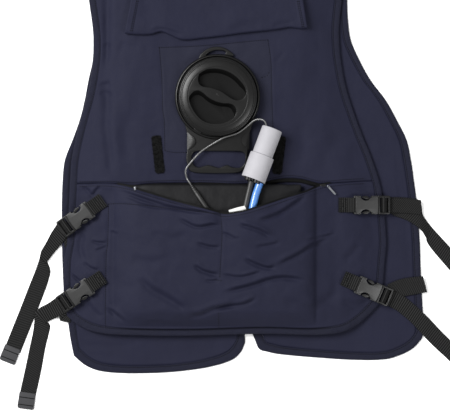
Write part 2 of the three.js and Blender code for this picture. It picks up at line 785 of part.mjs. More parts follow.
// Pocket front: slack cloth over the bag, sewn down at its sides and hem
function pocketUnder(x, y) {
  const across = (x - pocketCentreX) / pocketWidth;
  const seam = smooth(((0.5 - Math.abs(across)) * pocketWidth) / pocketSeamReach);
  const hem = smooth((y - pocketHem) / pocketHemReach);
  const slack = pocketSlack * seam * hem;
  const folds = 1 - pressed(pocketFolds, pocketWidth, pocketDepth, x - pocketCentreX, y);
  const cover = (bagHeight + seamGap * 2) * pillow(x, y, pocketWiden);
  let humps = 0;
  for (const hump of pocketHumps) {
    const aside = (across - hump.across) / hump.wide;
    const along = (y / pocketDepth - hump.up) / hump.long;
    humps = Math.max(humps, hump.rise * Math.exp(-aside * aside - along * along));
  }
  const loose = cover * seam ** 0.25 * hem ** 0.25 + slack * folds + humps * hem;
  return Math.max(backOver(x, y), mix(backOver(x, y), plateau, seam)) + seamGap + loose;
}
const pocketX = (across) => pocketCentreX + across * pocketWidth;
const mouthAt = (x) => read(mouthLow, "across", "up", (x - pocketCentreX) / pocketWidth) * pocketDepth;
const pocketColumns = [0, 0.02, 0.06, 0.11, 0.16, 0.22, 0.28, 0.34, 0.4, 0.46, 0.52, 0.58, 0.64, 0.7, 0.76,
  0.82, 0.88, 0.94, 0.98, 1];
const pocketRows = [0, 0.03, 0.1, 0.2, 0.3, 0.4, 0.5, 0.6, 0.7, 0.8, 0.9, 1];
function pocketSkin(u, v) {
  const x = pocketX(u - 0.5);
  const y = mix(pocketHem, mouthAt(x) - tapeWidth - seamGap, v);
  const low = pocketUnder(x, y);
  return { x, y, low, high: low + pocketThick };
}
add("pocket_front", wall(pocketColumns, pocketRows, pocketSkin), navyCloth);

// Zip tapes: one along the pocket's slack edge, one along the back panel
function tape(stops, edge, base, rise) {
  return loft(stops.map((x) => {
    const y = edge(x);
    return [
      new THREE.Vector3(x, y, base(x, y)),
      new THREE.Vector3(x, y - tapeWidth, base(x, y - tapeWidth)),
      new THREE.Vector3(x, y - tapeWidth, base(x, y - tapeWidth) + rise),
      new THREE.Vector3(x, y, base(x, y) + rise),
    ];
  }));
}
const zipFrom = pocketX(-0.48);
const zipTo = pocketX(0.44);
const lowStops = pocketColumns.map((u) => pocketX(u - 0.5));
add("zip_tape_lower", tape(lowStops, mouthAt, pocketUnder, tapeThick), blackWeb);
const highEdge = (x) => tapeWidth + pocketDepth
  * read(mouthHigh, "across", "up", (x - pocketCentreX) / pocketWidth);
const highStops = [];
for (let i = 0; i <= 16; i += 1) highStops.push(mix(zipFrom, zipTo, i / 16));
const highBase = () => onPlateau;
add("zip_tape_upper", tape(highStops, highEdge, highBase, tapeThick), blackWeb);

// Zip sliders at the two ends of the open stretch, and the puller of the right one
const chamfered = (length, width, cut) => new THREE.Shape([
  new THREE.Vector2(-length / 2 + cut, -width / 2), new THREE.Vector2(length / 2 - cut, -width / 2),
  new THREE.Vector2(length / 2, -width / 2 + cut), new THREE.Vector2(length / 2, width / 2 - cut),
  new THREE.Vector2(length / 2 - cut, width / 2), new THREE.Vector2(-length / 2 + cut, width / 2),
  new THREE.Vector2(-length / 2, width / 2 - cut), new THREE.Vector2(-length / 2, -width / 2 + cut),
]);
function laid(name, geometry, material, x, y, z, heading) {
  const mesh = add(name, geometry, material);
  mesh.position.set(x, y, z);
  mesh.rotation.z = radians(heading);
  return mesh;
}
const sliderCut = sliderWidth / 4;
const sliderLeftX = zipFrom + sliderInset;
const sliderRightX = zipTo + sliderLength / 2 + seamGap;
const overTapes = plateau + seamGap * 2 + tapeThick;
const sliderShape = chamfered(sliderLength, sliderWidth, sliderCut);
laid("zip_slider_left", slab(sliderShape, 0, sliderThick, 1), greyMetal,
  sliderLeftX, pocketDepth + tapeWidth / 2, overTapes + pocketSlack, -sliderHeading);
laid("zip_slider_right", slab(sliderShape, 0, sliderThick, 1), greyMetal,
  sliderRightX, pocketDepth + tapeWidth * 2, onPlateau, sliderHeading);
const pullerShape = chamfered(pullerLength, pullerWidth, pullerWidth / 4);
const onSlider = onPlateau + sliderThick + seamGap;
laid("zip_puller", slab(pullerShape, 0, pullerThick, 1), blackPlastic,
  sliderRightX + pullerReach, pocketDepth + tapeWidth * 0.8, onSlider, pullerHeading);

// Turned-up flap: a sewn strip that doubles back over itself and lies on the upper back
const flapSteps = [
  { along: 0, back: 1, lift: 0 },
  { along: 0.04, back: 0.5, lift: 0 },
  { along: 0.08, back: 0.12, lift: 0.1 },
  { along: 0.1, back: 0, lift: 0.5 },
  { along: 0.12, back: 0.12, lift: 0.92 },
  { along: 0.17, back: 0.6, lift: 1 },
  { along: 0.26, back: 1.6, lift: 0.85 },
  { along: 0.4, back: 3.2, lift: 0.35 },
  { along: 0.6, back: 5.4, lift: 0.1 },
  { along: 0.8, back: 7.4, lift: 0.02 },
  { along: 1, back: flapLength / flapTurn, lift: 0 },
];
const flapColumns = [0, 0.12, 0.2, 0.31, 0.43, 0.52, 0.65, 0.78, 0.9, 1];
function flapMid(u, step) {
  const x = flapCentreX + (u - 0.5) * (flapWidth - step.along * flapWidth * 0.03);
  const fold = flapFoldY - read(flapFold, "across", "lower", u) * flapLength;
  const y = fold + step.back * flapTurn;
  return new THREE.Vector3(x, y, plateau + seamGap + flapThick / 2 + step.lift * flapLoft);
}
function flapGeometry() {
  const tops = [];
  const bottoms = [];
  flapSteps.forEach((step, i) => {
    const before = flapSteps[Math.max(i - 1, 0)];
    const after = flapSteps[Math.min(i + 1, flapSteps.length - 1)];
    const run = (after.back - before.back) * flapTurn;
    const rise = (after.lift - before.lift) * flapLoft;
    const size = Math.hypot(run, rise);
    for (const u of flapColumns) {
      const mid = flapMid(u, step);
      const offset = new THREE.Vector3(0, -rise / size, run / size).multiplyScalar(flapThick / 2);
      tops.push(mid.clone().add(offset));
      bottoms.push(mid.clone().sub(offset));
    }
  });
  return skinned(tops, bottoms, flapColumns.length, flapSteps.length);
}
add("port_flap", flapGeometry(), navyCloth);

// Filler port: collar, handle plate and hook in one moulding round an open bore
const roundSegments = 40;
function turned(profile, segments = roundSegments) {
  const points = profile.map(([r, z]) => new THREE.Vector2(r, z));
  return solid(new THREE.LatheGeometry(points, segments).rotateX(Math.PI / 2));
}
function collarBody() {
  const ring = turned([
    [boreRadius, 0], [collarRadius, 0], [collarRadius, collarHeight - collarBevel],
    [collarRadius - collarBevel, collarHeight], [boreRadius, collarHeight], [boreRadius, 0],
  ]);
  const half = plateWidth / 2;
  const plate = new THREE.Shape();
  plate.moveTo(-half - plateCorner / 2, -collarRadius * 0.55);
  plate.quadraticCurveTo(-half, -collarRadius * 0.75, -half, -collarRadius);
  plate.lineTo(-half, -plateReach + plateCorner);
  plate.quadraticCurveTo(-half, -plateReach, -half + plateCorner, -plateReach);
  plate.lineTo(half - plateCorner * 1.5, -plateReach);
  const cornerTop = plateCorner - plateReach;
  plate.quadraticCurveTo(half - plateCorner / 2, -plateReach, half - plateCorner / 3, cornerTop);
  plate.lineTo(half, -collarRadius);
  plate.quadraticCurveTo(half, -collarRadius * 0.75, half + plateCorner / 2, -collarRadius * 0.55);
  const grip = new THREE.Path();
  const end = slotHeight / 2;
  grip.absarc(slotWidth / 2 - end, -slotReach, end, -Math.PI / 2, Math.PI / 2);
  grip.absarc(-slotWidth / 2 + end, -slotReach, end, Math.PI / 2, Math.PI * 1.5);
  plate.holes.push(grip);
  const knob = turned([
    [0, plateThick - 1], [knobRadius, plateThick - 1], [knobRadius, plateThick],
    [knobRadius * knobTop, plateThick + knobHeight * 0.8], [0, plateThick + knobHeight],
  ], 16);
  const knobSide = block(-half, half, -knobReach - knobRadius, -knobReach + knobRadius, 0, collarHeight);
  const bored = turned([
    [0, -1], [collarRadius - 1, -1], [collarRadius - 1, collarHeight + 1], [0, collarHeight + 1],
  ]);
  const handle = solid(slab(plate, 0, plateThick, 8))
    .add(knob.translate([-half, -knobReach, 0]).intersect(knobSide))
    .subtract(bored);
  const inner = collarRadius + hookGap;
  const outer = inner + hookThick;
  const hook = new THREE.Shape();
  const hookTo = (turn, radius) => {
    hook.lineTo(Math.cos(radians(turn)) * radius, Math.sin(radians(turn)) * radius);
  };
  hook.absarc(0, 0, outer, radians(hookStart), radians(hookEnd), true);
  hookTo(hookEnd, inner - hookBarb);
  hookTo(hookEnd + 4, inner);
  hook.absarc(0, 0, inner, radians(hookEnd + 6), radians(hookStart - 10), false);
  hookTo(hookStart - 8, collarRadius - 1);
  hookTo(hookStart + 6, collarRadius - 1);
  return ring.add(handle).add(solid(slab(hook, 0, plateThick, 10)));
}
const collar = add("port_collar", surface(collarBody()), blackPlastic);
collar.position.set(portX, portY, onPlateau);

// Cap with its stem in the bore and two recesses that leave an S-shaped grip
function recess(turn) {
  const shape = new THREE.Shape();
  const edge = Math.asin(gripWidth / 2 / recessRadius);
  shape.absarc(0, 0, recessRadius, edge, Math.PI - edge, false);
  shape.quadraticCurveTo(-recessRadius * 0.45, gripWidth * 0.1, 0, gripWidth / 2);
  shape.quadraticCurveTo(recessRadius * 0.45, gripWidth * 0.9, recessRadius * Math.cos(edge), gripWidth / 2);
  const top = stemLength + capHeight;
  return solid(slab(shape, top - recessDepth, top + 1, 14)).rotate([0, 0, turn]);
}
function capBody() {
  const stemRadius = boreRadius - stemClearance;
  const disc = turned([
    [0, 0], [stemRadius, 0], [stemRadius, stemLength], [capRadius, stemLength],
    [capRadius, stemLength + capHeight - capBevel], [capRadius - capBevel, stemLength + capHeight],
    [0, stemLength + capHeight],
  ]);
  return disc.subtract(recess(gripTurn)).subtract(recess(gripTurn + 180));
}
const cap = add("port_cap", surface(capBody()), blackPlastic);
cap.position.set(portX, portY, onPlateau + collarHeight + seamGap - stemLength);

// Hook tape strips beside the port
const stripShape = chamfered(stripLength, stripWidth, stripWidth / 4);
for (const side of ["left", "right"]) {
  const { x, y, heading } = strips[side];
  laid(`hook_tape_${side}`, slab(stripShape, 0, stripThick, 1), blackWeb, x, y, onPlateau, heading);
}

// Pump lying beside the handle: a wide body and a narrower neck on one axis
const pumpAxisHeight = onPlateau + tapeThick + seamGap + pumpBodyDiameter / 2;
function cylinderOf(diameter, length) {
  const r = diameter / 2;
  return turned([
    [0, 0], [r - pumpBevel, 0], [r, pumpBevel], [r, length - pumpBevel], [r - pumpBevel, length], [0, length],
  ], 20);
}
function pumpPiece(name, diameter, length, from) {
  const mesh = add(name, surface(cylinderOf(diameter, length)), greyPlastic);
  const turn = radians(pumpTurn);
  mesh.position.set(pumpX + Math.cos(turn) * from, pumpY + Math.sin(turn) * from, pumpAxisHeight);
  mesh.rotation.set(0, Math.PI / 2, turn, "ZYX");
}
const pumpBodyLength = pumpLength - pumpNeckLength;
pumpPiece("pump_lower", pumpBodyDiameter, pumpBodyLength, 0);
pumpPiece("pump_upper", pumpNeckDiameter, pumpNeckLength, pumpBodyLength + seamGap);

add("hose_blue", tube(blueHoseRoute, blueHoseDiameter, 8), blueRubber);
add("hose_black", tube(blackHoseRoute, blackHoseDiameter, 8), blackRubber);
add("pump_cable", tube(cableRoute, cableDiameter, 28), blackRubber);
add("cable_sleeve", tube(sleeveRoute, sleeveDiameter, 5), blackRubber);
const tagShape = chamfered(tagWidth, tagHeight, 1);
const onBag = bagOver(tagX, tagY - tagHeight / 2) + seamGap;
laid("pocket_tag", slab(tagShape, 0, tagThick, 1), whiteTag, tagX, tagY, onBag, tagTurn);

// A band of web through stations: place, way it points, and its own thickness
function ribbon(stations, thick, width) {
  return loft(stations.map((station, i) => {
    const before = stations[Math.max(i - 1, 0)];
    const after = stations[Math.min(i + 1, stations.length - 1)];
    const way = after.at.clone().sub(before.at).normalize();
    const turn = radians(station.heading);
    const side = new THREE.Vector3(-Math.sin(turn), Math.cos(turn), 0);
    const face = side.clone().cross(way).normalize();
    const corner = (s, f) => station.at.clone().addScaledVector(side, (s * width) / 2)
      .addScaledVector(face, (f * thick) / 2);
    return [corner(-1, -1), corner(1, -1), corner(1, 1), corner(-1, 1)];
  }));
}

// Buckle in its own frame: along from the bar, across, and up from its underside
const ladderFrom = socketLength + seamGap;
const ladderTo = ladderFrom + ladderLength;
const halfWide = buckleWidth / 2;
const slotHalf = halfWide - buckleRail;
function socketBody() {
  const barLow = barHeight - buckleBar / 2;
  const barHigh = barHeight + buckleBar / 2;
  const shell = block(-buckleBar / 2, socketLength, -halfWide, halfWide, 0, buckleThick)
    .subtract(block(buckleBar / 2, barSlotEnd, -slotHalf, slotHalf, -1, buckleThick + 1))
    .subtract(block(-buckleBar, buckleBar / 2 + 0.01, -slotHalf, slotHalf, -1, barLow))
    .subtract(block(-buckleBar, buckleBar / 2 + 0.01, -slotHalf, slotHalf, barHigh, buckleThick + 1));
  const roof = buckleThick - buckleWall;
  const cavity = block(cavityStart, socketLength + 1, -slotHalf + 1, slotHalf - 1, buckleWall, roof);
  const windowSide = slotHalf - windowInset;
  const windowLeft = block(windowStart, windowEnd, windowSide, halfWide + 1, -1, buckleThick + 1);
  const windowRight = block(windowStart, windowEnd, -halfWide - 1, -windowSide, -1, buckleThick + 1);
  return shell.subtract(cavity).subtract(windowLeft).subtract(windowRight);
}
function ladderBody() {
  const low = barHeight - buckleBar / 2;
  const high = barHeight + buckleBar / 2;
  const slotIn = (from, to) => block(from, to, -slotHalf, slotHalf, -1, buckleThick + 1);
  const base = block(ladderFrom, ladderTo, -halfWide, halfWide, low, high)
    .subtract(slotIn(ladderFrom + ladderRail, ladderFrom + ladderSlotEnd))
    .subtract(slotIn(ladderFrom + ladderSecondSlot, ladderTo - ladderFoot));
  const shoulderTop = buckleThick - buckleFit;
  const shoulder = block(ladderFrom, ladderFrom + ladderRail, -halfWide, halfWide, buckleFit, shoulderTop);
  const cavityLow = buckleWall + buckleFit;
  const cavityHigh = buckleThick - buckleWall - buckleFit;
  const guide = block(guideStart, ladderFrom + 1, -guideWidth / 2, guideWidth / 2, cavityLow, cavityHigh);
  const reach = slotHalf - 1 - buckleFit;
  const armLeft = block(armStart, ladderFrom + 1, reach - armWidth, reach, cavityLow, cavityHigh);
  const armRight = block(armStart, ladderFrom + 1, -reach, armWidth - reach, cavityLow, cavityHigh);
  const thumbLeft = block(thumbStart, thumbEnd, reach - armWidth, halfWide, cavityLow, cavityHigh);
  const thumbRight = block(thumbStart, thumbEnd, -halfWide, armWidth - reach, cavityLow, cavityHigh);
  return base.add(shoulder).add(guide).add(armLeft).add(armRight).add(thumbLeft).add(thumbRight);
}

// Top of what lies under a place beside the back panel's edge
function groundUnder(x, y) {
  const inward = Math.min(x - backPanel.left(y), backPanel.right(y) - x);
  if (inward < 0) return frontTop;
  return backOver(x, y) + (inward < bindingWidth * 1.2 ? bindingProud : 0);
}

for (const buckle of buckles) {
  const turn = radians(buckle.heading);
  const slope = Math.tan(radians(buckle.tip));
  const cos = Math.cos(turn);
  const sin = Math.sin(turn);
  const spot = (along, across) => [
    buckle.barX + along * cos - across * sin,
    buckle.barY + along * sin + across * cos,
  ];
  let seat = 0;
  for (let along = -anchorLength; along <= ladderTo; along += 2) {
    for (const across of [-halfWide, 0, halfWide]) {
      const [x, y] = spot(along, across);
      seat = Math.max(seat, groundUnder(x, y) + seamGap + along * slope);
    }
  }
  const frame = new THREE.Matrix4().makeRotationZ(turn)
    .multiply(new THREE.Matrix4().makeRotationY(radians(buckle.tip)))
    .setPosition(buckle.barX, buckle.barY, seat);
  const inFrame = (along, up) => new THREE.Vector3(along, 0, up).applyMatrix4(frame);
  add(`buckle_socket_${buckle.name}`, surface(socketBody()).applyMatrix4(frame), blackPlastic);
  add(`buckle_ladder_${buckle.name}`, surface(ladderBody()).applyMatrix4(frame), blackPlastic);

  // Web turned round a bar: the lower run, the turn and the upper run
  const bend = buckleBar / 2 + buckleFit + webThick / 2;
  const hairpin = (along) => [-90, -45, 0, 45, 90].map((degrees) => {
    const t = radians(degrees);
    const at = inFrame(along + Math.cos(t) * bend, barHeight + Math.sin(t) * bend);
    return { at, heading: buckle.heading };
  });
  const sewnDown = (along, layer) => {
    const [x, y] = spot(along, 0);
    const grounds = [-0.5, 0, 0.5].map((side) => groundUnder(...spot(along, side * webWidth)));
    const ground = Math.max(...grounds);
    const rise = seamGap + webThick / 2 + layer * (webThick + seamGap);
    return { at: new THREE.Vector3(x, y, ground + rise), heading: buckle.heading };
  };
  const anchor = [
    sewnDown(-anchorLength, 0),
    sewnDown(-anchorLength / 2, 0),
    ...hairpin(buckleBar / 3),
    { at: inFrame(-buckleBar - 1, barHeight + bend * 0.8), heading: buckle.heading },
    sewnDown(-anchorLength / 2, 1),
    sewnDown(-anchorLength, 1),
  ];
  add(`anchor_web_${buckle.name}`, ribbon(anchor, webThick, webWidth), blackWeb);

  // Strap from the front panel's edge, round the ladder bar and out as the free tail
  const ladderBar = ladderFrom + ladderBarAt;
  const flipped = hairpin(0).map((station) => {
    const local = station.at.clone().applyMatrix4(frame.clone().invert());
    const at = new THREE.Vector3(ladderBar - local.x, 0, local.z).applyMatrix4(frame);
    return { at, heading: buckle.heading };
  });
  const leave = (up) => ({ at: inFrame(ladderTo + 1.5, barHeight + up * bend), heading: buckle.heading });
  const lie = (layer) => layer * frontTop + webThick / 2 + (layer > 0 ? seamGap : 0);
  const march = (start, rows, size) => {
    const stations = [];
    const at = start.at.clone();
    for (const row of rows) {
      const way = radians(row.heading);
      const step = row.step === undefined ? row.reach * size : row.step;
      at.x += Math.cos(way) * step;
      at.y += Math.sin(way) * step;
      stations.push({ at: new THREE.Vector3(at.x, at.y, lie(row.layer)), heading: row.heading });
    }
    return stations;
  };
  const tailSide = buckle.tailOnTop ? 1 : -1;
  const tailStart = leave(tailSide);
  const fixedStart = leave(-tailSide);
  const tail = tails[buckle.name];
  const tailRun = march(tailStart, tail.rows, tail.length);
  const fixedRun = march(fixedStart, fixedRuns[buckle.name], 1);
  const round = buckle.tailOnTop ? flipped : [...flipped].reverse();
  const strap = [...downward(fixedRun), fixedStart, ...round, tailStart, ...tailRun];
  add(`strap_web_${buckle.name}`, ribbon(strap, webThick, webWidth), blackWeb);

  // Stiff tip on the end of the tail
  const end = tailRun[tailRun.length - 1];
  const tipShape = chamfered(tipLength, webWidth + 2, 2);
  const tip = add(`strap_tip_${buckle.name}`, slab(tipShape, 0, tipThick, 1), blackPlastic);
  const way = radians(end.heading);
  const reach = tipLength / 2 + seamGap;
  tip.position.set(end.at.x + Math.cos(way) * reach, end.at.y + Math.sin(way) * reach, 0);
  tip.rotation.z = way;
}

// The whole vest stands over its own middle
const whole = new THREE.Box3().setFromObject(vest);
const middle = whole.getCenter(new THREE.Vector3());
vest.position.set(-middle.x, -middle.y, -whole.min.z);

const part = new THREE.Group();
part.add(vest);
export default part;
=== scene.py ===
"""Cooling vest, laid flat on its front panels: cloth, webbing, filler port, pump and stitching.

Shapes are drawn in millimetres on the vest's own layout, X across it and Y from its hem to its neck,
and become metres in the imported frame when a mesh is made.
"""
import json
import math

import bmesh
import bpy
import numpy as np
from mathutils import Matrix, Vector, noise
from mathutils.bvhtree import BVHTree

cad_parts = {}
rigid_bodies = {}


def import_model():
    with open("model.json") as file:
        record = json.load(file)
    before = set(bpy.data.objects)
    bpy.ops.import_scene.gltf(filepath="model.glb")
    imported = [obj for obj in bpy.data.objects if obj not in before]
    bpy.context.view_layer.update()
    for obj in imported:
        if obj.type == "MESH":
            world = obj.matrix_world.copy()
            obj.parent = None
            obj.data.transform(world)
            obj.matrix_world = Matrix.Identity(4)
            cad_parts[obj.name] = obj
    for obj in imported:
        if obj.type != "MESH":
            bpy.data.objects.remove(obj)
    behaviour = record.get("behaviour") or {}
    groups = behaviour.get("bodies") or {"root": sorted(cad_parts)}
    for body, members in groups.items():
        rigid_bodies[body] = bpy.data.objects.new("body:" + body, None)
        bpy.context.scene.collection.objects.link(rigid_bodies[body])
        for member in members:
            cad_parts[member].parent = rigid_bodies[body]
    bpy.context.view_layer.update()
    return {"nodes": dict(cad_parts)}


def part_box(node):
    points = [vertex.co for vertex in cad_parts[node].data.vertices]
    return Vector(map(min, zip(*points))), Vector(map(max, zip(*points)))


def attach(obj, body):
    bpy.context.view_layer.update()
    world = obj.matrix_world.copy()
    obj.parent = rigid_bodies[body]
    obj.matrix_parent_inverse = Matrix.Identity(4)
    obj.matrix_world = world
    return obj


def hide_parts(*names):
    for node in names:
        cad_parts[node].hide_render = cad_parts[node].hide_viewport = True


bl_info = {
    "name": "Cooling vest",
    "version": (1, 0, 0),
    "blender": (4, 5, 0),
    "location": "3D View > Sidebar > Cooling vest",
    "description": "Dresses the packed cooling vest with cloth, webbing, plastic and stitching",
    "category": "Object",
}

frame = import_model()

# Layout: millimetres to a pixel of the photograph, and the pixel at the layout's origin
PIXEL = 1.35
ORIGIN_PX = (226.5, 335.0)
PORT = (-11.5, 321.0)
cap_low, cap_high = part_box("port_cap")
SHIFT = np.array([
    (cap_low[0] + cap_high[0]) * 500 - PORT[0],
    (cap_low[1] + cap_high[1]) * 500 - PORT[1],
    0.0,
])

# Heights of the layers from the floor, as the solids have them
PANEL = 3.0
BINDING_PROUD = 0.4
SEAM_GAP = 0.3
FRONT_TOP = PANEL + BINDING_PROUD
EDGE_REST = FRONT_TOP + SEAM_GAP
CROWN_REST = 13.0
PLATEAU = CROWN_REST + PANEL
ON_PLATEAU = PLATEAU + SEAM_GAP

BACK_WIDTH = 430.0
BACK_LENGTH = 590.0
FRONT_WIDTH = 490.0
FRONT_DROP = 52.0
FRONT_GAP = 11.0
BINDING = 9.5
# Share of the binding's width at which it is sewn on
TAPE_SEAM = 0.86

# How the back panel rises from its edges: distance from the sides, the shoulders and the hem
SIDE_RISE = 60.0
SHOULDER_ROLL = 16.0
HEM_RISE = 45.0
HEM_DIP = 2.5
NECK_HOLD = 0.4
SHOULDER_SLOPE = 14.0
BACK_NECK_DIP = 28.0
FRONT_NECK_DIP = 110.0

# Thickness of the cloth that shows, and how far the lining of the lower back lies under its top
UPPER_THICK = 1.8
LINING_THICK = 1.0
LINING_UNDER = 2.0
FRONT_THICK = 2.2
POCKET_THICK = 1.4

# Water bag: middle, half size, hem, height, where its walls stand and where its neck begins
BAG_MIDDLE = (-16.0, 114.0)
BAG_HALF = (120.0, 87.0)
BAG_HEM = 27.0
BAG_TALL = 178.0
BAG_WALLS = (-130.0, 98.0)
BAG_WALL_TOP = 191.0
BAG_NECK = 172.0
BAG_RISE = 13.0
# How far the bag's walls may move when it is blown up, in metres, and in how many steps
BLOW_REACH = 0.0012
BLOW_STEPS = 20

# Pocket front: middle, width, height, and widths of the slopes up from its side seams and its hem
POCKET_MIDDLE = -6.0
POCKET_WIDE = 308.0
POCKET_TALL = 200.0
POCKET_SIDE_SLOPE = 46.0
POCKET_HEM_SLOPE = 22.0
POCKET_COVER = 15.6
# Humps of slack cloth: height, share across and its spread, share up and its spread
POCKET_HUMPS = [(12, 0.123, 0.13, 0.82, 0.35), (8, -0.074, 0.09, 0.86, 0.3)]

# Back panel: share of its length, left edge and right edge as shares of its width
BACK_SIDES = [
    (-0.01, -0.486, 0.447), (0.043, -0.502, 0.469), (0.069, -0.509, 0.48), (0.103, -0.513, 0.491),
    (0.167, -0.512, 0.499), (0.217, -0.501, 0.504), (0.332, -0.494, 0.488), (0.4, -0.488, 0.46),
    (0.469, -0.468, 0.422), (0.556, -0.436, 0.381), (0.618, -0.422, 0.363), (0.664, -0.418, 0.356),
    (0.709, -0.422, 0.355), (0.767, -0.433, 0.363), (0.892, -0.451, 0.38), (1.0, -0.479, 0.41),
]
BACK_HEM = [
    (0, 0.0436), (0.017, 0.0286), (0.05, 0.0137), (0.083, 0.0058), (0.152, 0), (0.38, -0.0024),
    (0.644, 0.0024), (0.827, 0), (0.919, 0.0092), (0.967, 0.0342), (1, 0.0686),
]
# Share across, shoulder slope, neck dip and how much of the binding the edge gives up
BACK_TOP = [
    (0, 1, 0, 0), (0.12, 0.5, 0, 0), (0.26, 0, 0, 0.15), (0.3, 0, 0.4, 1), (0.36, 0, 0.75, 1),
    (0.5, 0, 1, 1), (0.64, 0, 0.75, 1), (0.7, 0, 0.4, 1), (0.74, 0, 0, 0.15), (0.88, 0.5, 0, 0),
    (1, 1, 0, 0),
]
FRONT_SIDES = [
    (-0.09, -0.411, 0.461), (-0.06, -0.419, 0.513), (-0.011, -0.431, 0.54), (0.023, -0.437, 0.544),
    (0.08, -0.448, 0.541), (0.149, -0.453, 0.537), (0.217, -0.455, 0.534), (0.309, -0.455, 0.525),
    (0.355, -0.453, 0.518), (0.4, -0.447, 0.51), (0.446, -0.426, 0.498), (0.492, -0.406, 0.471),
    (0.538, -0.392, 0.44), (0.583, -0.382, 0.399), (0.629, -0.37, 0.368), (0.675, -0.368, 0.344),
    (0.721, -0.37, 0.336), (0.767, -0.376, 0.334), (0.892, -0.396, 0.338), (1.0, -0.42, 0.36),
]
FRONT_CENTRE = [(-0.06, 0.063), (0, 0.062), (1, -0.02)]
LEFT_FRONT_HEM = [
    (0, 0.55), (0.05, 0.78), (0.12, 0.93), (0.25, 1), (0.45, 1), (0.62, 0.95), (0.8, 0.83),
    (0.93, 0.64), (0.98, 0.42), (1, 0.2),
]
RIGHT_FRONT_HEM = [
    (0, 0), (0.03, 0.35), (0.08, 0.44), (0.16, 0.51), (0.4, 0.6), (0.65, 0.66), (0.83, 0.64),
    (0.91, 0.52), (0.97, 0.33), (1, 0.1),
]
FRONT_TOP_LINE = [
    (0, 1, 0, 0), (0.24, 0.5, 0, 0), (0.48, 0, 0, 0.15), (0.55, 0, 0.4, 1), (0.65, 0, 0.72, 1),
    (0.8, 0, 0.93, 1), (1, 0, 1, 1),
]

# Mouth of the pocket in photo pixels: the sagging edge below and the edge of the upper back
MOUTH_LOW = [
    (60, 184), (80, 184), (110.6, 183.8), (120, 185), (131, 187.3), (141.7, 190.8), (157, 195.6),
    (176, 201.3), (195.3, 206.1), (214.4, 211.4), (224, 214), (232, 213.6), (247.8, 210.5),
    (267, 204.3), (286, 198), (305.3, 192.3), (319.6, 186.4), (330, 183.8), (345, 182.6),
    (363, 181.4), (390, 180.6),
]
MOUTH_HIGH = [
    (60, 183.6), (110, 183.2), (125, 185.4), (133, 186.6), (141, 184.6), (157, 183.4), (195, 183),
    (240, 183.8), (267, 181.6), (273, 179.8), (286, 178.2), (300.5, 178.8), (310, 181.1),
    (319.6, 183.6), (330, 183), (345, 182), (363, 180.9), (390, 180.1),
]

# Folds in photo pixels: the line, half width, depth and the height of the ridge beside it, in mm
UPPER_FOLDS = [
    ([(108, -20), (107, 10), (106, 50), (105, 75)], 6, 2.6, 0.6),
    ([(105, 70), (107, 100), (106, 125), (109, 150), (113, 184)], 6, 2.4, 0.6),
    ([(97, 44), (104, 46), (110, 44)], 3, 1.2, 0.5),
    ([(98, 84), (104, 85), (111, 82)], 3, 1.2, 0.5),
    ([(99, 93), (106, 93), (112, 96)], 3, 1.0, 0.4),
    ([(285, 52), (280, 57), (275, 62)], 3, 0.7, 0.3),
    ([(118, 44), (128, 48), (140, 46)], 8, 1.0, 0.4),
    ([(320, 60), (312, 90), (322, 120)], 14, 1.4, 0.5),
    ([(345, 130), (330, 150), (322, 175)], 12, 1.4, 0.5),
    ([(130, 110), (126, 135), (130, 165)], 10, 1.2, 0.4),
    ([(297, 120), (303, 145), (297, 170)], 9, 1.2, 0.4),
    ([(186, 178), (210, 180), (236, 178)], 5, 1.2, 0.8),
]
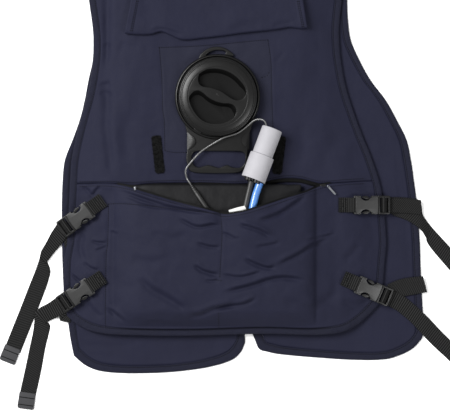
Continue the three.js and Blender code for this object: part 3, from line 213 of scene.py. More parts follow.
POCKET_FOLDS = [
    ([(118, 190), (140, 198), (165, 206), (190, 211), (217, 214)], 3.4, 2.6, 1.6),
    ([(122, 197), (148, 206), (172, 209)], 2.6, 1.6, 0.8),
    ([(178, 218), (197, 227), (213, 225), (222, 226)], 3.2, 2.6, 1.6),
    ([(196, 243), (211, 247), (221, 247)], 3, 2.0, 1.2),
    ([(193, 264), (203, 271), (219, 275)], 3.4, 2.4, 1.4),
    ([(205, 280), (213, 281), (219, 279)], 2.6, 1.6, 1.0),
    ([(138, 277), (153, 290), (167, 298), (181, 307), (188, 313)], 7, 2.8, 1.6),
    ([(186, 316), (200, 315), (215, 309), (240, 302)], 5, 2.4, 1.4),
    ([(105, 307), (115, 314), (125, 323), (131, 331)], 3.4, 2.2, 1.2),
    ([(110, 231), (114, 233), (118, 234)], 2.4, 1.4, 0.8),
    ([(138, 328), (152, 323), (168, 325), (186, 328)], 4, 1.4, 0.8),
    ([(238, 224), (255, 229), (264, 233), (271, 238)], 3.2, 2.6, 1.8),
    ([(256, 222), (277, 215), (292, 206), (308, 194)], 4.2, 2.6, 1.6),
    ([(222, 232), (230, 236), (238, 240)], 2.6, 1.6, 1.0),
    ([(243, 258), (255, 264), (268, 268), (277, 266)], 3.4, 2.8, 1.8),
    ([(274, 267), (286, 261), (300, 254), (314, 245), (332, 238)], 4.2, 2.2, 1.6),
    ([(220, 274), (240, 277), (263, 271)], 3, 1.6, 1.0),
    ([(221, 293), (250, 286), (272, 279), (288, 278), (310, 282)], 4.2, 2.8, 1.8),
    ([(214, 309), (232, 306), (246, 303), (258, 297)], 3.4, 2.2, 1.4),
    ([(305, 241), (318, 238), (336, 234)], 3, 1.4, 1.0),
    ([(344, 262), (352, 254), (361, 244)], 7, 1.2, 0.6),
    ([(254, 247), (266, 246), (281, 242)], 3.6, 1.4, 0.9),
    ([(308, 312), (324, 302), (342, 288)], 9, 1.4, 0.8),
    ([(150, 232), (170, 238), (188, 236)], 7, 1.0, 0.5),
    ([(128, 258), (150, 262), (172, 256)], 8, 1.0, 0.5),
    ([(280, 300), (300, 306), (322, 320)], 9, 1.2, 0.6),
    ([(82, 186), (88, 191), (94, 199)], 3, 1.8, 1.0),
    ([(92, 197), (96, 191), (101, 186)], 3, 1.8, 1.0),
    ([(91, 241), (98, 243), (107, 243)], 2.6, 1.8, 1.0),
    ([(95, 251), (101, 249), (107, 246)], 2.4, 1.4, 0.8),
    ([(83, 262), (90, 268), (99, 271)], 2.8, 1.6, 0.8),
    ([(69, 273), (74, 277), (81, 283)], 2.6, 1.6, 0.8),
    ([(84, 232), (80, 246), (84, 262)], 5, 1.8, 0.8),
    ([(86, 302), (94, 312), (103, 318)], 5, 1.4, 0.6),
    ([(350, 205), (362, 214), (374, 214)], 5, 1.2, 0.6),
    ([(340, 300), (356, 306), (372, 300)], 7, 1.2, 0.6),
]
FRONT_FOLDS = [
    ([(79, 342), (95, 345.6), (116, 345.5), (138, 344)], 3, 1.6, 0.9),
    ([(84, 352), (100, 356), (120, 354)], 5, 0.9, 0.4),
    ([(210, 340), (220, 348), (236, 352)], 6, 1.0, 0.4),
    ([(262, 342), (284, 348), (310, 345)], 5, 0.9, 0.4),
    ([(388, 318), (400, 325), (414, 330)], 4, 1.0, 0.5),
    ([(402, 160), (404, 200), (408, 240), (412, 290)], 5, 1.1, 0.5),
]
# Seams that show as thin pressed lines on the lining of the right front
LINING_SEAMS = [
    ([(358, 117), (378, 127), (397, 135)], 1.3, 0.9, 0.3),
    ([(396.5, 143), (399.5, 190), (403, 250)], 1.3, 0.9, 0.3),
]

# Turned-up flap in photo pixels: its folded lower edge
FLAP_EDGE = [
    (124.9, 33.5), (137, 34.6), (149.8, 34.4), (161.2, 31.6), (168.9, 34.4), (182.3, 39.7),
    (205.3, 37.8), (219, 36.4), (243, 33), (267, 30.6), (281, 28.7), (290, 27.3), (301.4, 28.7),
    (308, 28.2),
]
# Photo row, left side and right side
FLAP_SIDES = [(-78, 144, 293), (-40, 137.5, 298), (0, 131, 303), (32, 125, 308)]
FLAP_FOLDS = [
    ([(150, 33), (160, 30), (172, 32), (184, 37)], 3, 1.6, 0.9),
    ([(225, 33), (245, 26), (262, 24)], 6, 1.0, 0.5),
    ([(180, 6), (205, 12), (235, 10)], 12, 0.8, 0.3),
    ([(272, 28), (281, 25), (294, 24)], 4, 1.1, 0.5),
    ([(140, 20), (146, 10), (144, -6)], 8, 0.8, 0.3),
]

# Share along the flap's cloth, mm from its fold and share of the rise to the upper layer
FLAP_STEPS = [
    (0, 16, 0), (0.04, 8, 0), (0.08, 2.2, 0.08), (0.1, 0, 0.5), (0.12, 2.0, 0.93), (0.17, 9, 1),
    (0.26, 24, 0.85), (0.4, 50, 0.4), (0.6, 86, 0.15), (0.8, 120, 0.06), (1, 150, 0.0),
]
FLAP_TURNS_AT = 0.11
FLAP_RISE = 5.0
FLAP_HALF_THICK = 0.6

# Zip: its ends in photo pixels, and its tapes in section, mm beyond the cloth's edge and above its top
ZIP_ENDS_PX = (118, 330)
LOWER_TAPE = [(-3, -1.7), (1.6, -2.2), (1.9, -1.8), (1.2, -1.2), (-3, -1.0)]
UPPER_TAPE = [(-5.5, -1.4), (1, -1.9), (1, -1.1), (-1.5, -0.5), (-5.5, -0.2)]
# Sliders: photo pixel, turn, size and material
SLIDERS = {
    "left": ((135.4, 188.4), 82, 0.55, "zip_metal"),
    "right": ((323, 185.3), 10, 0.85, "black_plastic"),
}
SLIDER_OUTLINE = [
    (-4.6, -1.4), (-3, -2.1), (2.4, -2.4), (4.4, -1.6), (4.4, 1.6), (2.4, 2.4), (-3, 2.1), (-4.6, 1.4),
]
PULLER_PX = (331.2, 190)
PULLER_TURN = -48
PULLER_OUTLINE = [
    (-8.2, -0.8), (-6.8, -1.3), (6.4, -1.3), (7.9, -0.8), (8.2, 0), (7.9, 0.8), (6.4, 1.3), (-6.8, 1.3),
    (-8.2, 0.8),
]
# Tag: photo pixel, size, height and turn
TAG_PX = (237.6, 210.2)
TAG_SIZE = (23.0, 7.4)
TAG_HEIGHT = 38.6
TAG_TURN = 17
# Hook tapes: half size to the middle of a corner, radii of a corner, and for each its middle and turn
HOOK_HALF = (21, 4)
HOOK_CORNER = (4.4, 2.4)
HOOK_TAPES = {"left": (-92.3, 243.7, 96.5), "right": (71.0, 242.6, 83.0)}

# Rows of stitching in photo pixels, with the cloth that each one lies on
STITCH_ROWS = {
    "upper": [
        [(159.3, 47.6), (200, 46), (228.7, 43.5), (253.6, 41), (267.6, 40)],
        [(268, 41), (270.8, 61), (271.3, 76.5), (272.2, 110), (272.8, 126)],
        [(159.4, 48.8), (161.7, 76.5), (162.7, 110), (164.2, 120), (164.9, 150)],
        [(165.2, 150.6), (173, 152.4), (186, 152.6)],
        [(268.8, 72.8), (267.8, 75.4), (265.4, 76.8), (262, 77.4)],
        [(80, 181.8), (110, 181.2), (125, 182.4), (141, 182), (157, 180.8), (195, 180.4), (240, 181.2),
         (267, 179), (286, 175.8), (300.5, 176.4), (319.6, 181), (345, 179.6), (363, 178.6)],
    ],
    "pocket": [
        [(108.6, 204.4), (107.7, 242), (106.2, 255), (105.3, 329)],
        [(109, 204), (119, 203.6), (141, 205), (180, 209.4), (219.6, 213.9)],
        [(220.6, 214.4), (222, 233), (219.8, 276)],
        [(216.4, 279.6), (221, 280.2)],
        [(218.7, 313), (218.7, 327)],
        [(80, 186.2), (110, 186.2), (128, 189.2), (141, 193.4), (176, 203.8), (214, 213.8), (225, 216.4),
         (248, 212.8), (286, 200.6), (320, 188.6), (345, 184.8), (363, 183.6)],
    ],
    "flap": [
        [(150.5, -76), (138.5, 0), (132.5, 31)],
        [(148.7, -76), (136.9, 0), (130.9, 31)],
        [(286, -76), (297, 0), (302, 27)],
        [(287.6, -76), (298.6, 0), (303.6, 27)],
    ],
}

CABLE_THICK = 2.5
# Cable joint: length of its ribbed part, radius at its thin end and gain, ribs and groove
RELIEF_LENGTH = 14.0
RELIEF_RADIUS = 2.0
RELIEF_SWELL = 1.6
RELIEF_RIB = 1.5
RELIEF_RIB_DEEP = 0.45
SLEEVE_GROOVE = (15.5, 16.5)
SLEEVE_GROOVE_DEEP = 0.35
# Routes of the cable and the hoses: x, y and height in mm
CABLE_ROUTE = [
    (53.5, 282.3, 34.1), (51.2, 288, 33.6), (45, 290.8, 31.5), (37.5, 289.2, 29), (29, 282.5, 27.8),
    (15.5, 272.5, 27.6), (-3, 266.2, 27.4), (-13, 261, 26), (-24, 254.5, 23.8), (-36, 246, 23.4),
    (-47.5, 233.5, 23.4), (-55, 222.5, 22.4), (-53.6, 212, 20.4), (-48.6, 204, 24.4),
]
SLEEVE_ROUTE = [
    (-48.2, 203.3, 25.2), (-43.4, 196, 30.6), (-36.4, 185.5, 34), (-29.3, 175, 35.6), (-22.5, 164.8, 36.4),
]
BLUE_HOSE_ROUTE = [
    (44.6, 205.1, 34.1), (42.4, 198.6, 34.6), (39.6, 190.5, 36.2), (36.9, 180.5, 37.4),
    (34.7, 170.6, 37.6), (32.4, 158, 37.6), (30, 140, 37.6),
]
BLACK_HOSE_ROUTE = [
    (33.4, 207.3, 34.1), (31.8, 200, 34.4), (29.6, 191, 35.3), (27.3, 181, 36.4), (25, 170.6, 36.6),
    (22.4, 158, 36.6), (19.6, 140, 36.6),
]

# Filler port in photo pixels
COLLAR_PX = (217.5, 97.0)
CAP_DOT_PX = (218.6, 92.8)
UPPER_RECESS = [
    (199.4, 75.7), (200.9, 71.3), (207.1, 68.1), (216.1, 67.2), (225.9, 69), (234.8, 73.5), (242, 80.2),
    (246, 86.4), (246.9, 91.8), (245.1, 95.8), (242.9, 97.6), (237.9, 98.7), (233, 97.1), (227.7, 93.6),
    (221.4, 89.6), (212.5, 86.4), (204.5, 85.1), (200.9, 82.9), (199.4, 79.3),
]
LOWER_RECESS = [
    (192, 92.7), (194.6, 90), (199.1, 88.9), (203.6, 90.9), (208.9, 95.4), (216.1, 99.4), (224.1, 101.6),
    (230.4, 101.9), (234.8, 103.8), (237.1, 107.9), (237.1, 111.4), (234.8, 115.9), (228.6, 119.9),
    (220.5, 122), (211.6, 121.7), (203.6, 118.6), (196.4, 111.4), (192, 103.4), (190.4, 98), (190.6, 94.9),
]
RECESS_CENTRE_PX = (219.0, 95.0)
HANDLE_OUTLINE = [
    (178, 104), (179.5, 113), (183.4, 121.5), (186.6, 131), (187.2, 140), (187, 150.6), (186.3, 159),
    (187.6, 166), (190, 170.8), (196, 172.8), (206, 173.3), (217.4, 173.5), (228, 173.3), (236, 172.8),
    (241.5, 171.2), (245, 166), (247, 158), (248.2, 148), (249, 139), (250.2, 131.4), (252.6, 124),
    (256.5, 114), (258, 106), (252, 92), (235, 80), (217, 76), (199, 80), (184, 92),
]
HANDLE_SLOT = [
    (241.2, 167), (236.6, 167.8), (231.2, 167), (227.4, 165.1), (223.6, 166.2), (219, 167.8),
    (212.8, 166.2), (208.3, 165.2), (203.7, 166.2), (199.1, 167.4), (195.2, 166.2), (193, 163.6),
    (191.8, 159.7), (191.8, 155.9), (193.7, 152.5), (197.5, 151.3), (207, 151.2), (217, 151.2),
    (227, 151.2), (236, 151.3), (242, 151.9), (244.9, 154.5), (245.4, 158.5), (244.6, 163),
]
HOOK_OUTLINE = [
    (196.8, 64), (198.2, 60), (200, 55.4), (205.4, 50.3), (212.5, 47.3), (220.5, 47.1), (226.8, 49.4),
    (230.6, 52), (233.8, 55), (232.2, 56.4), (226.6, 55.6), (225.2, 54.6), (225.7, 52.8), (224.6, 51.4),
    (220.5, 50.6), (214.3, 50.8), (208.9, 52.9), (206.2, 55.2), (207.4, 56.8), (211, 58), (211, 66),
    (203, 69),
]

CATCH_OUTLINE = [(194.6, 127.2), (196.4, 126.4), (201.4, 130.4), (201, 133.4), (198.2, 134), (194, 130)]
# Scoops in the handle's sides: photo column of the edge, first and last row, column of the bulge
SCOOPS = [(187.2, 132.4, 150.6, 195.3), (249.4, 131.4, 150, 241.4)]
# Turned profiles: radius and height in mm
COLLAR_PROFILE = [
    (45, 0), (56.9, 0), (57.5, 0.8), (57.6, 5.6), (57.3, 7.0), (56.6, 8.2), (55.8, 8.9), (55.0, 9.0),
    (54.5, 8.4), (54.3, 6.4), (53.6, 5.8), (52.2, 5.8), (51.6, 7.2), (51, 7.6), (45, 7.6),
]
CAP_PROFILE = [
    (0, -7), (44.2, -7), (44.4, -6.6), (44.4, 0), (51.6, 0), (52.4, 0.8), (52.5, 6.2), (52.2, 7.2),
    (51.6, 7.8), (51.0, 7.9), (50.7, 7.6), (50.2, 7.7), (50.0, 8.3), (49.4, 8.7), (48.8, 8.75),
    (48.5, 8.5), (48.0, 8.6), (47.7, 9.2), (46.0, 9.85), (44.0, 10.4), (42.0, 10.8), (40.6, 10.98),
    (39.9, 10.7), (39.5, 2.0), (38.8, 1.4), (0, 1.4),
]
CAP_DOT_PROFILE = [(0, 0), (1.3, 0), (1.2, 0.4), (0.7, 0.65), (0, 0.7)]
HANDLE_THICK = 5.0
CAP_UP = 9.3
CAP_FLOOR = 2.0
WELL_RIM = 10.3
CAP_TOP_RADIUS = 40.2
ROUND_STEPS = 144

PUMP_BASE = (35.8, 209.5)
PUMP_HEIGHT = 34.1
PUMP_TURN = 69.4
PUMP_TIP = 4.0
PUMP_MIDDLE = 36.5
PUMP_LOWER_PROFILE = [
    (0, 2.2), (9, 2.2), (14.6, 1.8), (15, 0.4), (15.6, 0), (16.1, 0.2), (16.5, 0.9), (16.5, 34.2),
    (16.2, 34.8), (15.6, 35), (0, 35),
]
PUMP_UPPER_PROFILE = [
    (0, 35.3), (13.7, 35.3), (14, 35.6), (14, 72.2), (13.7, 72.9), (13.1, 73.3), (12.2, 73.4),
    (11.6, 73.0), (0, 72.9),
]
# Nozzles at the pump's base: radius and place
NOZZLES = [(5.6, (0.6, -5.2)), (4.8, (-0.4, 6.6))]

# Buckles: where the bar stands, the way the buckle points, and whether the tail lies on top
BUCKLES = {
    "left_upper": (-184.0, 170.0, 215.8, True),
    "left_lower": (-184.0, 67.0, 213.6, True),
    "right_upper": (172.5, 175.5, 0.0, False),
    "right_lower": (177.0, 68.5, -23.0, True),
}
BUCKLE_TIP = 9.0
BAR_UP = 3.85
LADDER_FROM = 31.3
LADDER_TO = 48.3
LADDER_BAR = 39.6
WEB_WIDE = 20.0
WEB_THICK = 1.4
BAR_RADIUS = 1.5
# Upper half of the socket's waist, one arm of the ladder and a strap's tip, seen from above in mm
WAIST_HALF = [
    (1.4, 11.8), (4, 11.6), (6.6, 10.4), (9.4, 7.8), (11.8, 6.5), (14.4, 6.1), (17.2, 6.6), (19.8, 8.4),
    (22.2, 10.2), (25, 11.2), (28, 11.6), (30.8, 11.6),
]
ARM_OUTLINE = [
    (9.6, 10.2), (11, 11.6), (14.4, 12.4), (18, 11.6), (20.4, 9.8), (31.6, 9.6), (31.6, 7.2), (20, 7.2),
    (13, 8.2),
]
TIP_OUTLINE = [
    (-11.2, -10.2), (-10, -11.1), (8.6, -11.3), (10.6, -10.6), (11.2, -8.8), (11.2, 8.8), (10.6, 10.6),
    (8.6, 11.3), (-10, 11.1), (-11.2, 10.2),
]
# Box and cross sewn through each anchor web, mm along and across from its buckle's foot
SEWN_BOX = [
    [(-19.5, 8), (-19.5, -8), (-11, -8), (-11, 8), (-19.5, 8)],
    [(-19.5, 8), (-11, -8)],
    [(-19.5, -8), (-11, 8)],
]

# Free tails in photo pixels: left edge, right edge, height of each edge in mm, and twill (1) or rib (0)
TAILS = {
    "left_upper": [
        [(57.2, 223.6, 67.8, 235.4, 12, 12, 0), (53.6, 228.6, 64.4, 240, 5.8, 6.2, 0),
         (49.6, 235, 59.6, 246.2, 3, 3, 0), (45.4, 243, 54, 252.6, 2.6, 2.6, 0),
         (40.6, 251.4, 48.6, 259.6, 3, 2.4, 0), (39.2, 257, 45.2, 264, 3.4, 2.2, 0)],
        [(40.2, 253, 47, 262.6, 0.8, 0.8, 1), (38.4, 260, 49.6, 269.4, 0.8, 0.8, 1),
         (34.6, 271, 49.4, 274.6, 0.8, 0.8, 1), (30.6, 281, 46, 286.6, 0.8, 0.8, 1),
         (20, 308, 35.6, 313.2, 0.8, 0.8, 1), (12.4, 327, 27.8, 333, 0.8, 0.8, 1),
         (5.6, 344, 21, 350, 0.8, 0.8, 1), (4.2, 347.6, 19.6, 353.6, 0.8, 0.8, 1)],
    ],
    "left_lower": [
        [(58, 296, 66.8, 311.8, 12, 12, 0), (53.4, 299.6, 62, 315, 6, 6.2, 0),
         (46.6, 304.2, 54.4, 318.8, 3, 3, 0), (40, 307.6, 48.4, 321.4, 2.8, 2.8, 0),
         (33.8, 312.8, 44.8, 324.2, 3, 2.6, 0)],
        [(33.6, 311.2, 45.8, 321, 0.8, 0.8, 1), (33.8, 319.5, 49.4, 325.6, 0.8, 0.8, 1),
         (32.4, 332, 48.4, 333.4, 0.8, 0.8, 1), (29.4, 346, 45, 347, 0.8, 0.8, 1),
         (24.6, 369, 40.6, 371, 0.8, 0.8, 1), (19.6, 391.6, 35.8, 393, 0.8, 0.8, 1),
         (18.8, 395.4, 35, 396.8, 0.8, 0.8, 1)],
    ],
    "right_upper": [
        [(390.2, 197.2, 390.2, 213, 5, 5, 1), (399, 197.2, 396, 216.4, 4.5, 4.5, 1),
         (409, 197.8, 403, 218.6, 4.3, 4.3, 1), (417, 199.4, 411, 222.4, 4.3, 4.3, 1),
         (421.6, 204, 417, 226.4, 4.2, 4.2, 1), (423.4, 214.4, 422.2, 231, 3.4, 3.8, 1),
         (428.8, 222.8, 426.6, 238, 2, 2, 0.6), (434, 229, 427.4, 241.6, 0.8, 0.8, 0),
         (441, 236.6, 431.6, 248.4, 0.8, 0.8, 0), (452, 248.6, 443.4, 262.4, 0.8, 0.8, 0),
         (468, 266, 458.4, 279.4, 0.8, 0.8, 0), (484, 283.4, 473.6, 295.6, 0.8, 0.8, 0)],
    ],
    "right_lower": [
        [(392.4, 290.6, 386.4, 305, 12, 12, 0), (398, 292.6, 390.4, 307.2, 6.6, 6.4, 0),
         (404.6, 296.6, 396.6, 310.4, 6, 5.4, 0), (412, 302.4, 403, 315.4, 5, 4.6, 0),
         (420, 309.4, 411.4, 322.6, 4.3, 4.3, 0), (429, 318, 419.4, 331, 3.4, 3.8, 0),
         (440, 329.6, 430, 342.6, 1, 1, 0), (456, 345.4, 446.4, 358, 0.8, 0.8, 0),
         (466, 355, 456.6, 367.6, 0.8, 0.8, 0)],
    ],
}
# Fixed straps to the front panels' edges, in the same columns as the tails
FIXED_RUNS = {
    "left_upper": [[(62.4, 222.6, 71.4, 234.4, 6, 6, 1), (60.2, 227, 66, 241, 4.6, 4.6, 1),
                    (64, 232, 64.4, 246.6, 4.4, 4.4, 1), (72, 234, 72, 248.8, 4.2, 4.2, 1)]],
    "left_lower": [[(62.4, 295.4, 71, 310.6, 6, 6, 1), (57, 301, 60, 320.4, 4.6, 4.6, 1),
                    (61, 306, 61, 321.4, 4.4, 4.4, 1), (70, 308, 70, 323, 4.2, 4.2, 1)]],
    "right_upper": [[(391, 198, 391, 212.8, 6, 6, 1), (403, 198.4, 402.4, 213.2, 6.1, 6.1, 1),
                     (414, 199.2, 413.4, 214, 5.9, 5.9, 1), (421.6, 200, 421.6, 215, 5.7, 5.7, 1)]],
    "right_lower": [[(388, 284.6, 386, 299.4, 5.4, 5.4, 1), (398, 280.2, 399, 297.6, 5, 5, 1),
                     (410, 277.6, 412.6, 295.2, 4.8, 4.8, 1), (423.5, 276.4, 427.8, 292.3, 4.8, 4.8, 1)]],
}
# Tips at the ends of the tails: photo pixel of the middle and the heading of the strap
TIPS = {
    "left_upper": (9.2, 355.1, 248.5), "left_lower": (25.9, 401.4, 262.0),
    "right_upper": (484.8, 295.4, -47.0), "right_lower": (466.6, 367.0, -45.0),
}


# Stage: photo pixel under the camera, places of the lights in metres and half the floor's width
PICTURE_MIDDLE_PX = (225, 205)
KEY_PLACE = (-1.7, 0.8, 2.0)
FILL_PLACE = (1.3, -0.9, 1.9)
FLOOR_HALF = 5
SENSOR_WIDE = 36

# Pitch of the cloth's threads and of the binding's ribs, in metres
CLOTH_THREAD = 0.00055
BINDING_RIB = 0.0009

# Height in metres from which rays are dropped on to finished pieces
ABOVE_ALL = 0.2


# Plain arithmetic

def mm(points):
    """Photo pixels as millimetres on the layout."""
    points = np.asarray(points, float)
    return np.stack([
        (points[..., 0] - ORIGIN_PX[0]) * PIXEL,
        (ORIGIN_PX[1] - points[..., 1]) * PIXEL,
    ], -1)


def smooth(t):
    t = np.clip(t, 0, 1)
    return t * t * (3 - 2 * t)


def read(table, at, column=1):
    """Values of a table's column at places along its first, on a smooth curve through the rows."""
    rows = np.array(sorted(table), float)
    keys, values = rows[:, 0], rows[:, column]
    slopes = np.empty_like(values)
    slopes[1:-1] = (values[2:] - values[:-2]) / (keys[2:] - keys[:-2])
    slopes[0] = (values[1] - values[0]) / (keys[1] - keys[0])
    slopes[-1] = (values[-1] - values[-2]) / (keys[-1] - keys[-2])
    at = np.clip(at, keys[0], keys[-1])
    row = np.clip(np.searchsorted(keys, at, side="right") - 1, 0, len(keys) - 2)
    span = keys[row + 1] - keys[row]
    t = (at - keys[row]) / span
    bend = t * t * (3 - 2 * t)
    leave = slopes[row] * span * t * (1 - t) ** 2
    arrive = slopes[row + 1] * span * t * t * (t - 1)
    return values[row] * (1 - bend) + values[row + 1] * bend + leave + arrive


def along_path(points, step):
    """Places a step apart on a smooth path through points of any number of columns."""
    points = np.asarray(points, float)
    width = min(points.shape[1], 3)
    legs = np.linalg.norm(np.diff(points[:, :width], axis=0), axis=1)
    reach = np.concatenate([[0], np.cumsum(np.maximum(legs, 1e-6))])
    count = max(int(round(reach[-1] / step)), 2)
    at = np.linspace(0, reach[-1], count + 1)
    columns = [read(np.stack([reach, points[:, k]], 1).tolist(), at) for k in range(points.shape[1])]
    return np.stack(columns, 1)


def strides(path):
    """Length of each step along a path."""
    return np.linalg.norm(np.diff(path, axis=0), axis=1)


def reach_along(path):
    """Distance from a path's start to each of its places."""
    return np.concatenate([[0], np.cumsum(strides(path))])


def apart(path, least):
    """Which places of a path lie further than a least distance from the one before."""
    return np.concatenate([[True], strides(path) > least])


def unit_grid(wide, tall):
    """Shares from 0 to 1 across and along a grid."""
    return np.meshgrid(np.linspace(0, 1, wide), np.linspace(0, 1, tall))


def table_in_mm(table):
    return [(float(x), float(y)) for x, y in mm(table)]


def pressed(x, y, folds, deeper=1.0, tighter=1.0):
    """How far folds move cloth up or down at places, each a valley with a ridge on its left."""
    lift = np.zeros_like(x)
    for line, wide, deep, ridge in folds:
        wide = wide / tighter
        path = along_path(mm(line), 5)
        reach = wide * 4
        near = (x > path[:, 0].min() - reach) & (x < path[:, 0].max() + reach)
        near &= (y > path[:, 1].min() - reach) & (y < path[:, 1].max() + reach)
        if not near.any():
            continue
        px, py = x[near], y[near]
        best = np.full(px.shape, 1e9)
        side = np.zeros_like(px)
        part = np.zeros_like(px)
        for i, (start, end) in enumerate(zip(path[:-1], path[1:])):
            way = end - start
            t = np.clip(((px - start[0]) * way[0] + (py - start[1]) * way[1]) / (way @ way), 0, 1)
            dx = px - start[0] - way[0] * t
            dy = py - start[1] - way[1] * t
            away = np.hypot(dx, dy)
            closer = away < best
            best = np.where(closer, away, best)
            side = np.where(closer, np.sign(way[0] * dy - way[1] * dx) * away, side)
            part = np.where(closer, (i + t) / (len(path) - 1), part)
        fade = smooth(np.minimum(part, 1 - part) / 0.22)
        valley = -deep * np.exp(-(best / wide) ** 2)
        crest = ridge * np.exp(-((side - 1.7 * wide) / (1.2 * wide)) ** 2)
        lift[near] += (valley + crest) * fade * deeper
    return lift


def ripple(x, y, size, amount, seed):
    """Gentle uneven relief, one value a place, of a size in mm."""
    flat = np.array([
        noise.fractal(Vector((a / size, b / size, seed)), 1.0, 2.0, 3)
        for a, b in zip(x.ravel(), y.ravel())
    ])
    return flat.reshape(x.shape) * amount


# The vest's surfaces

class Panel:
    """The outline of one cloth panel, its edges as functions in millimetres."""

    def __init__(self, left, right, hem, top, bound):
        self.left, self.right, self.hem, self.top, self.bound = left, right, hem, top, bound

    def place(self, u, v, inset):
        """Millimetre places from shares across and along, an inset from the edges."""
        y = self.hem(u) + inset
        y = y + (self.top(u) - inset * self.bound(u) - y) * v
        left = self.left(y) + inset
        return left + (self.right(y) - inset - left) * u, y


def shoulder_line(table, u, dip):
    return BACK_LENGTH - read(table, u, 1) * SHOULDER_SLOPE - read(table, u, 2) * dip


def front_middle(y):
    return read(FRONT_CENTRE, y / BACK_LENGTH) * FRONT_WIDTH


BACK = Panel(
    lambda y: read(BACK_SIDES, y / BACK_LENGTH, 1) * BACK_WIDTH,
    lambda y: read(BACK_SIDES, y / BACK_LENGTH, 2) * BACK_WIDTH,
    lambda u: read(BACK_HEM, u) * BACK_LENGTH,
    lambda u: shoulder_line(BACK_TOP, u, BACK_NECK_DIP),
    lambda u: np.clip(read(BACK_TOP, u, 3), 0, 1),
)
LEFT_FRONT = Panel(
    lambda y: read(FRONT_SIDES, y / BACK_LENGTH, 1) * FRONT_WIDTH,
    lambda y: front_middle(y) - FRONT_GAP / 2,
    lambda u: -read(LEFT_FRONT_HEM, u) * FRONT_DROP,
    lambda u: shoulder_line(FRONT_TOP_LINE, u, FRONT_NECK_DIP),
    lambda u: np.clip(read(FRONT_TOP_LINE, u, 3), 0, 1),
)
RIGHT_FRONT = Panel(
    lambda y: front_middle(y) + FRONT_GAP / 2,
    lambda y: read(FRONT_SIDES, y / BACK_LENGTH, 2) * FRONT_WIDTH,
    lambda u: -read(RIGHT_FRONT_HEM, u) * FRONT_DROP,
    lambda u: shoulder_line(FRONT_TOP_LINE, 1 - u, FRONT_NECK_DIP),
    lambda u: np.clip(read(FRONT_TOP_LINE, 1 - u, 3), 0, 1),
)


def back_under(x, y):
    """Underside of the back panel: on the fronts at its sides and shoulders, raised in between."""
    left, right = BACK.left(y), BACK.right(y)
    across = np.clip((x - left) / (right - left), 0, 1)
    side = smooth(np.minimum(x - left, right - x) / SIDE_RISE)
    roll = np.clip((y - BACK.top(across) + SHOULDER_ROLL) / SHOULDER_ROLL, 0, 1)
    shoulder = np.sqrt(1 - roll * roll)
    end = shoulder + (1 - shoulder) * BACK.bound(across) * NECK_HOLD
    hem = HEM_DIP * (1 - smooth(y / HEM_RISE))
    return EDGE_REST + np.maximum((CROWN_REST - EDGE_REST - hem) * side * end, 0)


def back_top(x, y):
    return back_under(x, y) + PANEL


def inside_bindings(y, share):
    """Places across the back panel, from one sewn edge of its bindings to the other."""
    left = BACK.left(y) + BINDING + SEAM_GAP
    return left + (BACK.right(y) - BINDING - SEAM_GAP - left) * share


def settled(x, y, lift):
    """Relief that dies out at the bound edge of the back panel."""
    inward = np.minimum(x - BACK.left(y), BACK.right(y) - x) - BINDING
    return lift * smooth(inward / 12 + 0.15)


def upper_over(x, y):
    lift = pressed(x, y, UPPER_FOLDS, 1.3) + ripple(x, y, 46, 1.1, 3.1) + ripple(x, y, 13, 0.16, 8.2)
    lift = lift + pressed(x, y, [(row, 1.6, 0.6, 0.3) for row in STITCH_ROWS["upper"][:5]])
    return back_top(x, y) + settled(x, y, lift)


def pillow(x, y, widen):
    """Height from 0 to 1 of a cushion over the bag, widened by some mm."""
    across = np.abs(x - BAG_MIDDLE[0]) / (BAG_HALF[0] + widen)
    along = np.abs(y - BAG_MIDDLE[1]) / (BAG_HALF[1] + widen)
    return np.sqrt(np.clip(1 - across ** 4, 0, 1)) * np.sqrt(np.clip(1 - along ** 4, 0, 1))


def bag_over(x, y):
    return ON_PLATEAU + 2 + BAG_RISE * pillow(x, y, 0)


def pocket_over(x, y):
    """Top of the slack pocket front, which runs on to the bindings at both sides."""
    across = (x - POCKET_MIDDLE) / POCKET_WIDE
    seam = smooth((0.5 - np.abs(across)) * POCKET_WIDE / POCKET_SIDE_SLOPE)
    hem = smooth((y - 12) / POCKET_HEM_SLOPE)
    cover = POCKET_COVER * pillow(x, y, 16)
    humps = np.maximum(*(
        high * np.exp(-((across - at) / wide) ** 2 - ((y / POCKET_TALL - up) / tall) ** 2)
        for high, at, wide, up, tall in POCKET_HUMPS
    ))
    base = back_top(x, y)
    base = np.maximum(base, base + (PLATEAU - base) * seam)
    loose = cover * seam ** 0.25 * hem ** 0.25 + 3.2 * seam * hem + humps * hem
    lift = pressed(x, y, POCKET_FOLDS, 1.3, 1.3) + ripple(x, y, 42, 1.6, 5.4) + ripple(x, y, 16, 0.2, 1.7)
    seam_line = pressed(x, y, [(row, 1.8, 0.9, 0.3) for row in STITCH_ROWS["pocket"][:3]])
    creases = settled(x, y, lift + seam_line) * smooth(hem + 0.2)
    return base + (SEAM_GAP + 1.5) * seam ** 0.5 + loose + creases


def front_over(x, y):
    lift = pressed(x, y, FRONT_FOLDS) * 0.6 + pressed(x, y, LINING_SEAMS) + ripple(x, y, 40, 0.35, 2.2)
    return PANEL - 0.3 + np.minimum(lift, 0.3)


def flap_edge(x):
    return read(table_in_mm(FLAP_EDGE), x)


# Mesh makers

def in_metres(points):
    return (np.asarray(points, float) + SHIFT) / 1000


def placed(name, data):
    """A new object, linked to the scene."""
    piece = bpy.data.objects.new(name, data)
    bpy.context.scene.collection.objects.link(piece)
    return piece


